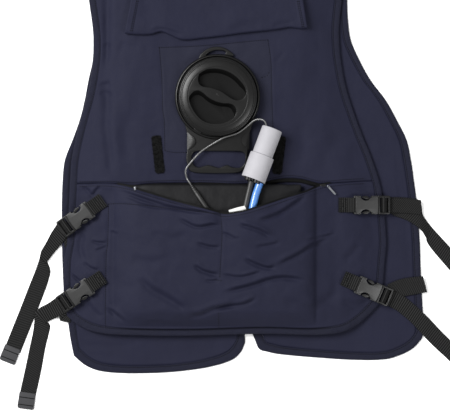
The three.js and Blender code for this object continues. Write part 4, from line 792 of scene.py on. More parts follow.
def new_object(name, points, faces, material, uv=None):
    """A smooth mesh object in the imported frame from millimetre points; uv is one pair for each point."""
    mesh = bpy.data.meshes.new(name)
    mesh.from_pydata([tuple(p) for p in in_metres(points)], [], [tuple(f) for f in faces])
    if uv is not None:
        layer = mesh.uv_layers.new(name="UVMap")
        corners = np.empty(len(mesh.loops), int)
        mesh.loops.foreach_get("vertex_index", corners)
        layer.data.foreach_set("uv", np.asarray(uv, float)[corners].ravel())
    mesh.polygons.foreach_set("use_smooth", [True] * len(mesh.polygons))
    mesh.materials.append(material)
    mesh.validate()
    return placed(name, mesh)


def grid_faces(wide, tall, offset=0, flip=False):
    a = (np.arange(tall - 1)[:, None] * wide + np.arange(wide - 1)[None, :]).ravel() + offset
    quads = np.stack([a, a + 1, a + 1 + wide, a + wide], 1)
    return (quads[:, ::-1] if flip else quads).tolist()


def closed_sheet(upper, lower):
    """Points and faces of a closed sheet between two grids of the same size."""
    tall, wide = upper.shape[:2]
    under = tall * wide
    faces = grid_faces(wide, tall) + grid_faces(wide, tall, under, True)
    index = np.arange(under).reshape(tall, wide)
    rim = np.concatenate([index[0, :-1], index[:-1, -1], index[-1, :0:-1], index[:0:-1, 0]])
    for a, b in zip(rim, np.roll(rim, -1)):
        faces.append([a + under, b + under, b, a])
    points = np.concatenate([upper.reshape(-1, 3), lower.reshape(-1, 3)])
    return points, faces


def sheet_grid(x, y, z, thick):
    upper = np.stack([x, y, z], -1)
    return closed_sheet(upper, upper - np.array([0, 0, thick]))


def swept(sections):
    """Points and faces of a closed solid through rows of like sections, each row of equal length."""
    sections = np.asarray(sections, float)
    count = sections.shape[1]
    faces = []
    for s in range(len(sections) - 1):
        for i in range(count):
            a, b = s * count + i, s * count + (i + 1) % count
            faces.append([a, b, b + count, a + count])
    faces.append(list(range(count))[::-1])
    faces.append([(len(sections) - 1) * count + i for i in range(count)])
    return sections.reshape(-1, 3), faces


def joined(parts):
    """One list of points and faces from several."""
    points, faces, start = [], [], 0
    for part_points, part_faces in parts:
        points.append(part_points)
        faces += [[i + start for i in face] for face in part_faces]
        start += len(part_points)
    return np.concatenate(points), faces


def face_outwards(piece, merge=True):
    """Turn every face outwards, after doubles are merged."""
    bm = bmesh.new()
    bm.from_mesh(piece.data)
    if merge:
        bmesh.ops.remove_doubles(bm, verts=bm.verts, dist=1e-6)
    bmesh.ops.recalc_face_normals(bm, faces=bm.faces)
    bm.to_mesh(piece.data)
    bm.free()


def lathe(profile, segments, centre, base):
    """A turned solid round an upright axis from (radius, height) pairs that start and end on it."""
    turn = np.linspace(0, 2 * math.pi, segments, endpoint=False)
    points, faces = [], []
    rings = []
    for radius, height in profile:
        if radius < 1e-6:
            rings.append([len(points)])
            points.append((centre[0], centre[1], base + height))
            continue
        rings.append(list(range(len(points), len(points) + segments)))
        points += [(centre[0] + radius * math.cos(t), centre[1] + radius * math.sin(t), base + height)
                   for t in turn]
    for lower, upper in zip(rings[:-1], rings[1:]):
        for i in range(segments):
            j = (i + 1) % segments
            if len(lower) == 1 and len(upper) > 1:
                faces.append([lower[0], upper[j], upper[i]])
            elif len(upper) == 1 and len(lower) > 1:
                faces.append([lower[i], lower[j], upper[0]])
            elif len(lower) > 1:
                faces.append([lower[i], lower[j], upper[j], upper[i]])
    return np.array(points), faces


def ring_lathe(profile, segments, centre, base):
    """A turned ring from a closed loop of (radius, height) pairs."""
    turn = np.linspace(0, 2 * math.pi, segments, endpoint=False)
    count = len(profile)
    points = [(centre[0] + r * math.cos(t), centre[1] + r * math.sin(t), base + h)
              for t in turn for r, h in profile]
    faces = []
    for s in range(segments):
        for i in range(count):
            j = (i + 1) % count
            t = (s + 1) % segments
            faces.append([s * count + i, t * count + i, t * count + j, s * count + j])
    return np.array(points), faces


def plate(outlines, low, high, bevel, rounds=3):
    """Points and faces of a flat plate with rounded edges; the outlines after the first are holes."""
    curve = bpy.data.curves.new("plate", "CURVE")
    curve.dimensions = "2D"
    curve.fill_mode = "BOTH"
    curve.bevel_depth = bevel
    curve.bevel_resolution = rounds
    curve.offset = -bevel
    curve.extrude = (high - low) / 2 - bevel
    for outline in outlines:
        spline = curve.splines.new("POLY")
        spline.points.add(len(outline) - 1)
        for point, (x, y) in zip(spline.points, outline):
            point.co = (x, y, 0, 1)
        spline.use_cyclic_u = True
    holder = placed("plate", curve)
    mesh = bpy.data.meshes.new_from_object(holder.evaluated_get(bpy.context.evaluated_depsgraph_get()))
    points = np.array([tuple(v.co) for v in mesh.vertices])
    points[:, 2] += (low + high) / 2
    faces = [list(p.vertices) for p in mesh.polygons]
    bpy.data.objects.remove(holder)
    bpy.data.curves.remove(curve)
    bpy.data.meshes.remove(mesh)
    return points, faces


def oblong(start, end, half):
    """An upright box in outline; a negative half runs round it the other way."""
    return [(start, half), (end, half), (end, -half), (start, -half)]


def rounded(outline, step=1.2):
    """A smooth closed outline through millimetre points."""
    outline = np.asarray(outline, float)
    loop = np.concatenate([outline[-3:], outline, outline[:4]])
    path = along_path(loop, step)
    first = np.argmin(np.linalg.norm(path - outline[0], axis=1))
    last = len(path) - 1 - np.argmin(np.linalg.norm(path[::-1] - outline[0], axis=1))
    start, end = min(first, last), max(first, last)
    if end - start < len(path) // 2:
        half = len(path) // 2
        first = np.argmin(np.linalg.norm(path[:half] - outline[0], axis=1))
        last = half + np.argmin(np.linalg.norm(path[half:] - outline[0], axis=1))
        start, end = first, last
    return path[start:end]


def moved(part, matrix):
    points, faces = part
    turned = [tuple(matrix @ Vector(p)) for p in points]
    return np.array(turned), faces


def standing(centre, height, degrees):
    """Where a flat part goes: its middle, its height and its turn about the upright."""
    return Matrix.Translation((*centre, height)) @ Matrix.Rotation(math.radians(degrees), 4, "Z")


def dressed(piece, body, slot, *nodes):
    """Say what a finished piece rides on and the solids that it stands for; the slot is not used."""
    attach(piece, body)
    if nodes:
        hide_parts(*nodes)
    return piece


def moulded(name, parts, finish, body, slot, *nodes, crease=180):
    """One finished piece of several parts, crisp wherever it turns by more than the crease in degrees."""
    points, faces = joined(parts)
    piece = new_object(name, points, faces, finish_of(finish))
    face_outwards(piece)
    piece.data.set_sharp_from_angle(angle=math.radians(crease))
    return dressed(piece, body, slot, *nodes)


def marked(piece, name, values):
    """Give every point of a piece a value that its material reads."""
    piece.data.attributes.new(name, "FLOAT", "POINT").data.foreach_set("value", values)


def baked(piece):
    """Keep what a piece's modifiers make of it as its plain mesh."""
    mesh = bpy.data.meshes.new_from_object(piece.evaluated_get(bpy.context.evaluated_depsgraph_get()))
    piece.modifiers.clear()
    old = piece.data
    piece.data = mesh
    bpy.data.meshes.remove(old)
    mesh.name = piece.name
    return mesh


def surface_of(piece):
    """A tree for finding the height of a finished piece."""
    bm = bmesh.new()
    bm.from_mesh(piece.data)
    tree = BVHTree.FromBMesh(bm)
    bm.free()
    return tree


def dropped(points, tree, lift):
    """Places a lift above the surface under each of them, all in mm."""
    result = []
    for x, y in points:
        start = Vector(in_metres((x, y, 0)))
        start.z = ABOVE_ALL
        hit = tree.ray_cast(start, Vector((0, 0, -1)))[0]
        if hit is not None:
            result.append((x, y, hit.z * 1000 + lift))
    return np.array(result)


# Nodes

def new_node(tree, kind, settings=None, sockets=None):
    """A node with its settings made first, then its sockets given values or links."""
    node = tree.nodes.new(kind)
    for key, value in (settings or {}).items():
        setattr(node, key, value)
    for key, value in (sockets or {}).items():
        feed(tree, node.inputs[key], value)
    return node


def feed(tree, socket, value):
    if isinstance(value, Number):
        value = value.socket
    if isinstance(value, bpy.types.NodeSocket):
        tree.links.new(value, socket)
    elif value is not None:
        socket.default_value = value


class Number:
    """A number that changes over a surface, so shader maths reads as arithmetic."""

    def __init__(self, tree, socket):
        self.tree, self.socket = tree, socket

    def math(self, operation, first, second=None):
        sockets = {0: first} if second is None else {0: first, 1: second}
        node = new_node(self.tree, "ShaderNodeMath", {"operation": operation}, sockets)
        return Number(self.tree, node.outputs[0])

    def __add__(self, other):
        return self.math("ADD", self, other)

    __radd__ = __add__

    def __sub__(self, other):
        return self.math("SUBTRACT", self, other)

    def __rsub__(self, other):
        return self.math("SUBTRACT", other, self)

    def __mul__(self, other):
        return self.math("MULTIPLY", self, other)

    __rmul__ = __mul__

    def __pow__(self, other):
        return self.math("POWER", self, other)

    def sine(self):
        return self.math("SINE", self)

    def top(self, other):
        return self.math("MAXIMUM", self, other)


class Finish:
    """A procedural material on one Principled shader."""

    def __init__(self, name, **constants):
        self.material = bpy.data.materials.new(name)
        self.material.use_nodes = True
        self.tree = self.material.node_tree
        self.shader = self.tree.nodes["Principled BSDF"]
        for key, value in constants.items():
            self.shader.inputs[key.replace("_", " ")].default_value = value

    def node(self, kind, settings=None, sockets=None):
        return new_node(self.tree, kind, settings, sockets)

    def number(self, socket):
        return Number(self.tree, socket)

    def place(self):
        """Object coordinates."""
        return self.node("ShaderNodeTexCoord").outputs["Object"]

    def axes(self, vector):
        split = self.node("ShaderNodeSeparateXYZ", None, {0: vector})
        return [self.number(split.outputs[k]) for k in range(3)]

    def grain(self, vector, scale, detail=2.0, roughness=0.5):
        """Noise from 0 to 1."""
        node = self.node("ShaderNodeTexNoise", None,
                         {"Vector": vector, "Scale": scale, "Detail": detail, "Roughness": roughness})
        return self.number(node.outputs["Fac"])

    def stretched(self, vector, scale, turn=0.0):
        node = self.node("ShaderNodeMapping", None,
                         {"Vector": vector, "Rotation": (0, 0, turn), "Scale": scale})
        return node.outputs[0]

    def blend(self, share, first, second):
        """A colour between two, by a share from 0 to 1."""
        node = self.node("ShaderNodeMix", {"data_type": "RGBA"}, {0: share, 6: first, 7: second})
        return node.outputs[2]

    def relief(self, height, distance, normal=None, strength=1.0):
        sockets = {"Height": height, "Distance": distance, "Strength": strength}
        if normal is not None:
            sockets["Normal"] = normal
        return self.node("ShaderNodeBump", None, sockets).outputs[0]

    def set(self, **sockets):
        for key, value in sockets.items():
            feed(self.tree, self.shader.inputs[key.replace("_", " ")], value)
        return self.material


def tint(red, green, blue):
    """A colour as seen, 0 to 255, as the shader takes it."""
    def linear(value):
        value /= 255
        return value / 12.92 if value <= 0.04045 else ((value + 0.055) / 1.055) ** 2.4
    return (linear(red), linear(green), linear(blue), 1.0)


def opaque(colour):
    return (*colour, 1.0)


def shade(colour, factor):
    return opaque(min(c * factor, 1.0) for c in colour[:3])


def cloth_finish(name, colour, facing):
    """Fine plain-weave nylon with soft crinkles and a faint uneven dye, greyer where it is faced."""
    finish = Finish(name, Specular_IOR_Level=0.13)
    place = finish.place()
    x, y = finish.axes(place)[:2]
    turn = 2 * math.pi / CLOTH_THREAD
    weave = (x * turn).sine() * (y * turn).sine()
    dye = finish.grain(place, 22, 3.0)
    fleck = finish.grain(finish.stretched(place, (900, 260, 900)), 1.0, 2.0)
    crease = finish.grain(finish.stretched(place, (16, 38, 30), 0.5), 1.0, 2.0, 0.5)
    cross = finish.grain(finish.stretched(place, (44, 19, 30), -0.7), 1.0, 2.0, 0.5)
    share = dye * 0.55 + fleck * 0.35 + weave * 0.06
    dyed = finish.blend(share, shade(colour, 0.8), shade(colour, 1.2))
    faced = finish.node("ShaderNodeAttribute", {"attribute_name": "faced"}).outputs["Fac"]
    colours = finish.blend(finish.number(faced) * 0.6, dyed, facing)
    soft = finish.relief(crease + cross * 0.8, 0.0016)
    woven = finish.relief(weave * 0.5 + fleck * 0.5, 0.00009, soft, 0.7)
    return finish.set(Base_Color=colours, Roughness=0.62 + fleck * 0.2, Normal=woven)


def binding_finish(name, colour):
    """Narrow folded tape with a fine rib along it."""
    finish = Finish(name, Specular_IOR_Level=0.13)
    place = finish.place()
    x, y = finish.axes(place)[:2]
    turn = 2 * math.pi / BINDING_RIB
    weave = ((x + y) * turn).sine()
    cross = ((x - y) * turn).sine()
    dye = finish.grain(place, 30, 3.0)
    pucker = finish.grain(place, 180, 3.0)
    colours = finish.blend(dye * 0.6 + pucker * 0.4, shade(colour, 0.75), shade(colour, 1.25))
    bumpy = finish.relief(pucker, 0.0012)
    woven = finish.relief(weave * cross, 0.0001, bumpy, 0.8)
    return finish.set(Base_Color=colours, Roughness=0.6 + dye * 0.2, Normal=woven)


def web_finish(name, colour, pitch):
    """Ribbed webbing whose reverse is a twill; its map runs across and along in widths of the web. Its colour
    is painted lighter on the crests of ribs and threads and darker in the grooves: painted highlight and
    painted shade.
    """
    finish = Finish(name, Specular_IOR_Level=0.08)
    layout = finish.node("ShaderNodeUVMap", {"uv_map": "UVMap"}).outputs[0]
    across, along = finish.axes(layout)[:2]
    twill = finish.number(finish.node("ShaderNodeAttribute", {"attribute_name": "twill"}).outputs["Fac"])
    turns = 2 * math.pi * WEB_WIDE / pitch
    rib = (along * turns).sine() * 0.5 + 0.5
    threads = (across * (2 * math.pi * 22)).sine() * 0.5 + 0.5
    slant = ((along + across * 0.75) * (turns * 1.1)).sine() * 0.5 + 0.5
    face = rib ** 0.7 * (0.72 + threads * 0.28)
    back = slant * 0.75 + threads * 0.15
    height = face * (1 - twill) + back * twill
    fuzz = finish.grain(finish.place(), 1400, 2.0)
    # painted highlight on the crests and painted shade in the grooves, made from the webbing's own black
    colours = finish.blend(height ** 2.2 * 0.88 + fuzz * 0.12, shade(colour, 0.1), shade(colour, 5.0))
    bump = finish.relief(fuzz, 0.0001, finish.relief(height, 0.0005), 0.6)
    return finish.set(Base_Color=colours, Roughness=0.55 + fuzz * 0.25, Normal=bump)


def plastic_finish(name, colour, rough=0.34, gloss=0.24):
    """Moulded plastic with a fine spark grain, faint flow marks and hairline scratches."""
    finish = Finish(name, Specular_IOR_Level=gloss)
    place = finish.place()
    spark = finish.grain(place, 2600, 2.0)
    flow = finish.grain(place, 46, 4.0, 0.6)
    scratch = finish.grain(finish.stretched(place, (70, 2400, 70), 0.6), 1.0, 2.0)
    marks = (scratch - 0.66).top(0.0) * 1.6
    colours = finish.blend(flow * 0.7 + spark * 0.3, shade(colour, 0.84), shade(colour, 1.16))
    bump = finish.relief(spark * 0.6 + marks, 0.00006)
    worn = rough + flow * 0.12 + marks * 0.3 - 0.06
    return finish.set(Base_Color=colours, Roughness=worn, Normal=bump)


def rubber_finish(name, colour, rough, coat):
    """Smooth hose or cable jacket with faint drawn lines."""
    finish = Finish(name, Coat_Weight=coat, Coat_Roughness=0.12)
    place = finish.place()
    flow = finish.grain(place, 90, 3.0)
    fine = finish.grain(place, 1500, 2.0)
    colours = finish.blend(flow, shade(colour, 0.85), shade(colour, 1.15))
    return finish.set(Base_Color=colours, Roughness=rough + fine * 0.12, Normal=finish.relief(fine, 0.00004))


def film_finish(name, colour):
    """Smooth padded film of the water bag, matt with soft dents."""
    finish = Finish(name, Specular_IOR_Level=0.16)
    place = finish.place()
    dents = finish.grain(place, 34, 3.0)
    fine = finish.grain(place, 1800, 2.0)
    colours = finish.blend(dents * 0.6 + fine * 0.4, shade(colour, 0.85), shade(colour, 1.15))
    bump = finish.relief(fine, 0.00005, finish.relief(dents, 0.002), 0.6)
    return finish.set(Base_Color=colours, Roughness=0.5 + fine * 0.2, Normal=bump)


def metal_finish(name, colour):
    finish = Finish(name, Metallic=1.0)
    place = finish.place()
    brushed = finish.grain(finish.stretched(place, (300, 4000, 300)), 1.0, 2.0)
    colours = finish.blend(brushed, shade(colour, 0.8), shade(colour, 1.2))
    bump = finish.relief(brushed, 0.00003)
    return finish.set(Base_Color=colours, Roughness=0.25 + brushed * 0.2, Normal=bump)


def thread_finish(name, colour):
    finish = Finish(name, Specular_IOR_Level=0.12)
    place = finish.place()
    twist = finish.grain(place, 2200, 2.0)
    colours = finish.blend(twist, shade(colour, 0.7), shade(colour, 1.3))
    return finish.set(Base_Color=colours, Roughness=0.6 + twist * 0.2, Normal=finish.relief(twist, 0.0001))


def paper_finish(name, colour):
    finish = Finish(name, Specular_IOR_Level=0.1)
    place = finish.place()
    fibre = finish.grain(place, 60, 3.0)
    colours = finish.blend(fibre, shade(colour, 0.995), colour)
    return finish.set(Base_Color=colours, Roughness=0.85 + fibre * 0.05)


FINISHES = {}


def finish_of(slot):
    """The material of one of the record's slots or of a small detail, made once."""
    if slot not in FINISHES:
        look = bpy.context.scene.vest_look
        maker, *values = {
            "navy_cloth": (cloth_finish, opaque(look.cloth_colour), opaque(look.facing_colour)),
            "navy_binding": (binding_finish, opaque(look.binding_colour)),
            "black_web": (web_finish, opaque(look.web_colour), look.rib_pitch * 1000),
            "black_tape": (thread_finish, tint(4, 4, 4)),
            "black_plastic": (plastic_finish, opaque(look.plastic_colour)),
            "grey_plastic": (plastic_finish, opaque(look.pump_colour), 0.6, 0.15),
            "bag_film": (film_finish, tint(9, 9, 11)),
            "blue_rubber": (rubber_finish, opaque(look.hose_colour), 0.22, 0.5),
            "black_rubber": (rubber_finish, tint(6, 6, 6), 0.45, 0.03),
            # grey on a black cable: painted sheen along its top
            "cable_jacket": (rubber_finish, tint(62, 62, 62), 0.3, 0.4),
            # darker than the other black plastic: painted shade in the cap's finger wells; the strap tips'
            # lines use it too
            "well_plastic": (plastic_finish, tint(5, 5, 5), 0.55, 0.1),
            "buckle_plastic": (plastic_finish, tint(13, 13, 13), 0.44, 0.5),
            "tip_rubber": (plastic_finish, tint(46, 46, 48), 0.5, 0.2),
            "white_tag": (thread_finish, tint(200, 200, 198)),
            "zip_metal": (metal_finish, tint(130, 132, 136)),
            "stitch_thread": (thread_finish, tint(3, 3, 5)),
        }[slot]
        FINISHES[slot] = maker(slot, *values)
    return FINISHES[slot]


# Geometry Nodes

class Tree:
    """A Geometry Nodes tree with named inputs, built once and run on a mesh."""

    def __init__(self, name, inputs):
        self.group = bpy.data.node_groups.new(name, "GeometryNodeTree")
        face = self.group.interface
        face.new_socket("Geometry", in_out="OUTPUT", socket_type="NodeSocketGeometry")
        face.new_socket("Geometry", in_out="INPUT", socket_type="NodeSocketGeometry")
        self.keys = {}
        for label, kind, value in inputs:
            socket = face.new_socket(label, in_out="INPUT", socket_type=kind)
            if value is not None:
                socket.default_value = value
            self.keys[label] = socket.identifier
        self.input = self.group.nodes.new("NodeGroupInput")
        self.output = self.group.nodes.new("NodeGroupOutput")

    def node(self, kind, settings=None, sockets=None):
        return new_node(self.group, kind, settings, sockets)

    def given(self, label):
        return self.input.outputs[label]

    def along_edges(self):
        """Places a pitch apart on the piece's edges, and the turn that faces along them."""
        path = self.node("GeometryNodeMeshToCurve", None, {0: self.given("Geometry")}).outputs[0]
        spots = self.node("GeometryNodeResampleCurve", {"mode": "LENGTH"},
                          {"Curve": path, "Length": self.given("Pitch")}).outputs[0]
        tangent = self.node("GeometryNodeInputTangent").outputs[0]
        turn = self.node("FunctionNodeAlignRotationToVector", {"axis": "X"}, {"Vector": tangent}).outputs[0]
        return {"Points": spots, "Rotation": turn}

    def finish(self, geometry):
        real = self.node("GeometryNodeRealizeInstances", None, {0: geometry}).outputs[0]
        painted = self.node("GeometryNodeSetMaterial", None, {0: real, "Material": self.given("Material")})
        self.group.links.new(painted.outputs[0], self.output.inputs[0])

    def run(self, piece, **values):
        """Grow the tree on a piece and keep the result as its plain mesh."""
        modifier = piece.modifiers.new("grow", "NODES")
        modifier.node_group = self.group
        for label, value in values.items():
            modifier[self.keys[label.replace("_", " ")]] = value
        baked(piece)


def stitch_tree():
    """One rounded stitch after another along every path."""
    tree = Tree("stitch rows", [
        ("Pitch", "NodeSocketFloat", 0.003),
        ("Length", "NodeSocketFloat", 0.0022),
        ("Thick", "NodeSocketFloat", 0.0006),
        ("Material", "NodeSocketMaterial", None),
    ])
    size = tree.node("ShaderNodeCombineXYZ", None,
                     {0: tree.given("Length"), 1: tree.given("Thick"), 2: tree.given("Thick")}).outputs[0]
    grain = tree.node("GeometryNodeMeshUVSphere", None, {"Segments": 6, "Rings": 4, "Radius": 0.5}).outputs[0]
    rows = tree.node("GeometryNodeInstanceOnPoints", None,
                     {**tree.along_edges(), "Instance": grain, "Scale": size}).outputs[0]
    tree.finish(rows)
    return tree


def teeth_tree():
    """Zip teeth as small blocks along every path."""
    tree = Tree("zip teeth", [
        ("Pitch", "NodeSocketFloat", 0.0016),
        ("Size", "NodeSocketVector", (0.0009, 0.0022, 0.0009)),
        ("Material", "NodeSocketMaterial", None),
    ])
    block = tree.node("GeometryNodeMeshCube", None, {"Size": tree.given("Size")}).outputs[0]
    rows = tree.node("GeometryNodeInstanceOnPoints", None,
                     {**tree.along_edges(), "Instance": block}).outputs[0]
    tree.finish(rows)
    return tree


def bristle_tree():
    """Stiff little hooks standing close together on a tape."""
    tree = Tree("hook tape", [
        ("Density", "NodeSocketFloat", 900000.0),
        ("Height", "NodeSocketFloat", 0.0016),
        ("Seed", "NodeSocketInt", 7),
        ("Material", "NodeSocketMaterial", None),
    ])
    base = tree.given("Geometry")
    spots = tree.node("GeometryNodeDistributePointsOnFaces", {"distribute_method": "RANDOM"},
                      {"Mesh": base, "Density": tree.given("Density"), "Seed": tree.given("Seed")}).outputs[0]
    stalk = tree.node("GeometryNodeMeshCone", None, {
        "Vertices": 5, "Side Segments": 1, "Radius Top": 0.0001, "Radius Bottom": 0.00028,
        "Depth": tree.given("Height"),
    }).outputs[0]
    lean = tree.node("FunctionNodeRandomValue", {"data_type": "FLOAT_VECTOR"},
                     {0: (-0.7, -0.7, 0), 1: (0.7, 0.7, 6.28), "Seed": tree.given("Seed")}).outputs[0]
    field = tree.node("GeometryNodeInstanceOnPoints", None,
                      {"Points": spots, "Instance": stalk, "Rotation": lean}).outputs[0]
    both = tree.node("GeometryNodeJoinGeometry")
    tree.group.links.new(field, both.inputs[0])
    tree.group.links.new(base, both.inputs[0])
    tree.finish(both.outputs[0])
    return tree


def path_object(name, rows):
    """A mesh of open edges, one chain for each row of millimetre places."""
    points, edges = [], []
    for row in rows:
        start = len(points)
        points += [tuple(p) for p in in_metres(row)]
        edges += [(start + i, start + i + 1) for i in range(len(row) - 1)]
    mesh = bpy.data.meshes.new(name)
    mesh.from_pydata(points, edges, [])
    return placed(name, mesh)


# Settings

def colour_property(name, description, default):
    return bpy.props.FloatVectorProperty(
        name=name, description=description, default=default[:3], subtype="COLOR", size=3, min=0, max=1)


def size_property(name, description, default, unit="LENGTH"):
    return bpy.props.FloatProperty(name=name, description=description, default=default, unit=unit)


class VestLook(bpy.types.PropertyGroup):
    """Colours and small sizes of the cloth, webbing and mouldings."""

    cloth_colour: colour_property("Cloth", "Navy nylon of the panels, pocket and flap", tint(21, 22, 38))
    facing_colour: colour_property("Facing", "Stitched facing round the filler port", tint(24, 25, 37))
    # darker than the cloth: partly the tape's own tone, partly painted shade of the bound edges
    binding_colour: colour_property("Binding", "Tape folded round the panels' edges", tint(19, 20, 34))
    web_colour: colour_property("Webbing", "Side straps", tint(17, 17, 17))
    plastic_colour: colour_property("Mouldings", "Filler port and buckles", tint(10, 10, 10))
    pump_colour: colour_property("Pump", "Pump housing", tint(146, 145, 149))
    hose_colour: colour_property("Blue hose", "Hose beside the black one", tint(64, 111, 175))
    stitch_pitch: size_property("Stitch pitch", "From one stitch to the next", 0.0031)
    stitch_length: size_property("Stitch length", "Thread that shows of one stitch", 0.0019)
    stitch_thick: size_property("Thread", "Thickness of the thread", 0.0012)
    rib_pitch: size_property("Rib pitch", "From one rib of the webbing to the next", 0.003)
    tooth_pitch: size_property("Tooth pitch", "From one zip tooth to the next", 0.0016)


class VestStage(bpy.types.PropertyGroup):
    """Floor, light and camera."""

    floor_colour: colour_property("Floor", "Pale paper under the vest", (0.93, 0.93, 0.93))
    key_power: size_property("Key light", "Soft light from the left", 128.0, "POWER")
    fill_power: size_property("Fill light", "Broad light from the lower right", 24.0, "POWER")
    sky: size_property("Sky", "Strength of the even light from all round", 0.7, "NONE")
    camera_height: size_property("Camera height", "Above the floor", 4.0)
    lens: size_property("Lens", "Focal length in millimetres on a 36 mm wide frame", 236.2, "NONE")


# Operators

class VEST_OT_stage(bpy.types.Operator):
    """Set the camera straight above the vest, with a pale floor and soft light"""

    bl_idname = "vest.stage"
    bl_label = "Stage"

    def execute(self, context):
        stage = context.scene.vest_stage
        context.scene.view_settings.view_transform = "Standard"
        camera = placed("camera", bpy.data.cameras.new("camera"))
        camera.data.lens = stage.lens
        camera.data.sensor_width = SENSOR_WIDE
        middle = in_metres((*mm(PICTURE_MIDDLE_PX), 0))
        camera.location = (middle[0], middle[1], stage.camera_height)
        context.scene.camera = camera
        self.light("key", stage.key_power, 1.5, KEY_PLACE)
        self.light("fill", stage.fill_power, 0.7, FILL_PLACE)
        world = bpy.data.worlds.new("soft sky")
        world.use_nodes = True
        background = world.node_tree.nodes["Background"]
        background.inputs["Color"].default_value = (1, 1, 1, 1)
        background.inputs["Strength"].default_value = stage.sky
        context.scene.world = world
        mesh = bpy.data.meshes.new("floor")
        corners = [(x * FLOOR_HALF, y * FLOOR_HALF, 0) for x, y in ((-1, -1), (1, -1), (1, 1), (-1, 1))]
        mesh.from_pydata(corners, [], [(0, 1, 2, 3)])
        mesh.materials.append(paper_finish("floor_paper", opaque(stage.floor_colour)))
        placed("floor", mesh)
        return {"FINISHED"}

    def light(self, name, power, size, place):
        """A round soft light that looks at the middle of the floor."""
        lamp = bpy.data.lights.new(name, "AREA")
        lamp.energy = power
        lamp.shape = "DISK"
        lamp.size = size
        holder = placed(name, lamp)
        holder.location = place
        holder.rotation_euler = (-Vector(place)).to_track_quat("-Z", "Y").to_euler()


class VEST_OT_cords(bpy.types.Operator):
    """Run the pump's cable and the two hoses into the pocket"""

    bl_idname = "vest.cords"
    bl_label = "Cable and hoses"

    def execute(self, context):
        route = CABLE_ROUTE + SLEEVE_ROUTE[1:]
        # the black cable is drawn grey, painted sheen along its top
        cable = self.tube("pump_cable_line", route, CABLE_THICK, "cable_jacket")
        sleeve = self.sleeve()
        dressed(cable, "vest", "black_rubber", "pump_cable")
        dressed(sleeve, "vest", "black_rubber", "cable_sleeve")
        self.declare(cable, route, CABLE_THICK, "limp", [sleeve])
        for name, route, thick, slot, node in (
            ("blue_hose_line", BLUE_HOSE_ROUTE, 10.0, "blue_rubber", "hose_blue"),
            ("black_hose_line", BLACK_HOSE_ROUTE, 8.0, "black_rubber", "hose_black"),
        ):
            hose = self.tube(name, route, thick, slot)
            dressed(hose, "vest", slot, node)
            self.declare(hose, route, thick, "medium", [])
        return {"FINISHED"}

    def route(self, points):
        return along_path(points, 2.5)

    def tube(self, name, points, thick, slot):
        curve = bpy.data.curves.new(name, "CURVE")
        curve.dimensions = "3D"
        curve.bevel_depth = thick / 2000
        curve.bevel_resolution = 5
        curve.use_fill_caps = True
        path = in_metres(self.route(points))
        spline = curve.splines.new("POLY")
        spline.points.add(len(path) - 1)
        for point, place in zip(spline.points, path):
            point.co = (*place, 1)
        spline.use_smooth = True
        curve.materials.append(finish_of(slot))
        return placed(name, curve)

    def declare(self, piece, points, thick, stiffness, pieces):
        path = self.route(points)

    def sleeve(self):
        """The joint in the cable: a ribbed strain relief that runs into a smooth barrel."""
        path = along_path(SLEEVE_ROUTE, 0.5)
        sections = []
        for i, (centre, reach) in enumerate(zip(path, reach_along(path))):
            way = path[min(i + 1, len(path) - 1)] - path[max(i - 1, 0)]
            way = way / np.linalg.norm(way)
            side = np.cross(way, (0, 0, 1))
            side = side / np.linalg.norm(side)
            up = np.cross(side, way)
            radius = RELIEF_RADIUS + RELIEF_SWELL * min(reach / RELIEF_LENGTH, 1)
            if reach < RELIEF_LENGTH and int(reach / RELIEF_RIB) % 2:
                radius -= RELIEF_RIB_DEEP
            if SLEEVE_GROOVE[0] < reach < SLEEVE_GROOVE[1]:
                radius -= SLEEVE_GROOVE_DEEP
            turn = np.linspace(0, 2 * math.pi, 16, endpoint=False)
            sections.append([centre + (side * math.cos(t) + up * math.sin(t)) * radius for t in turn])
        points, faces = swept(sections)
        piece = new_object("cable_joint", points, faces, finish_of("black_rubber"))
        face_outwards(piece)
        return piece


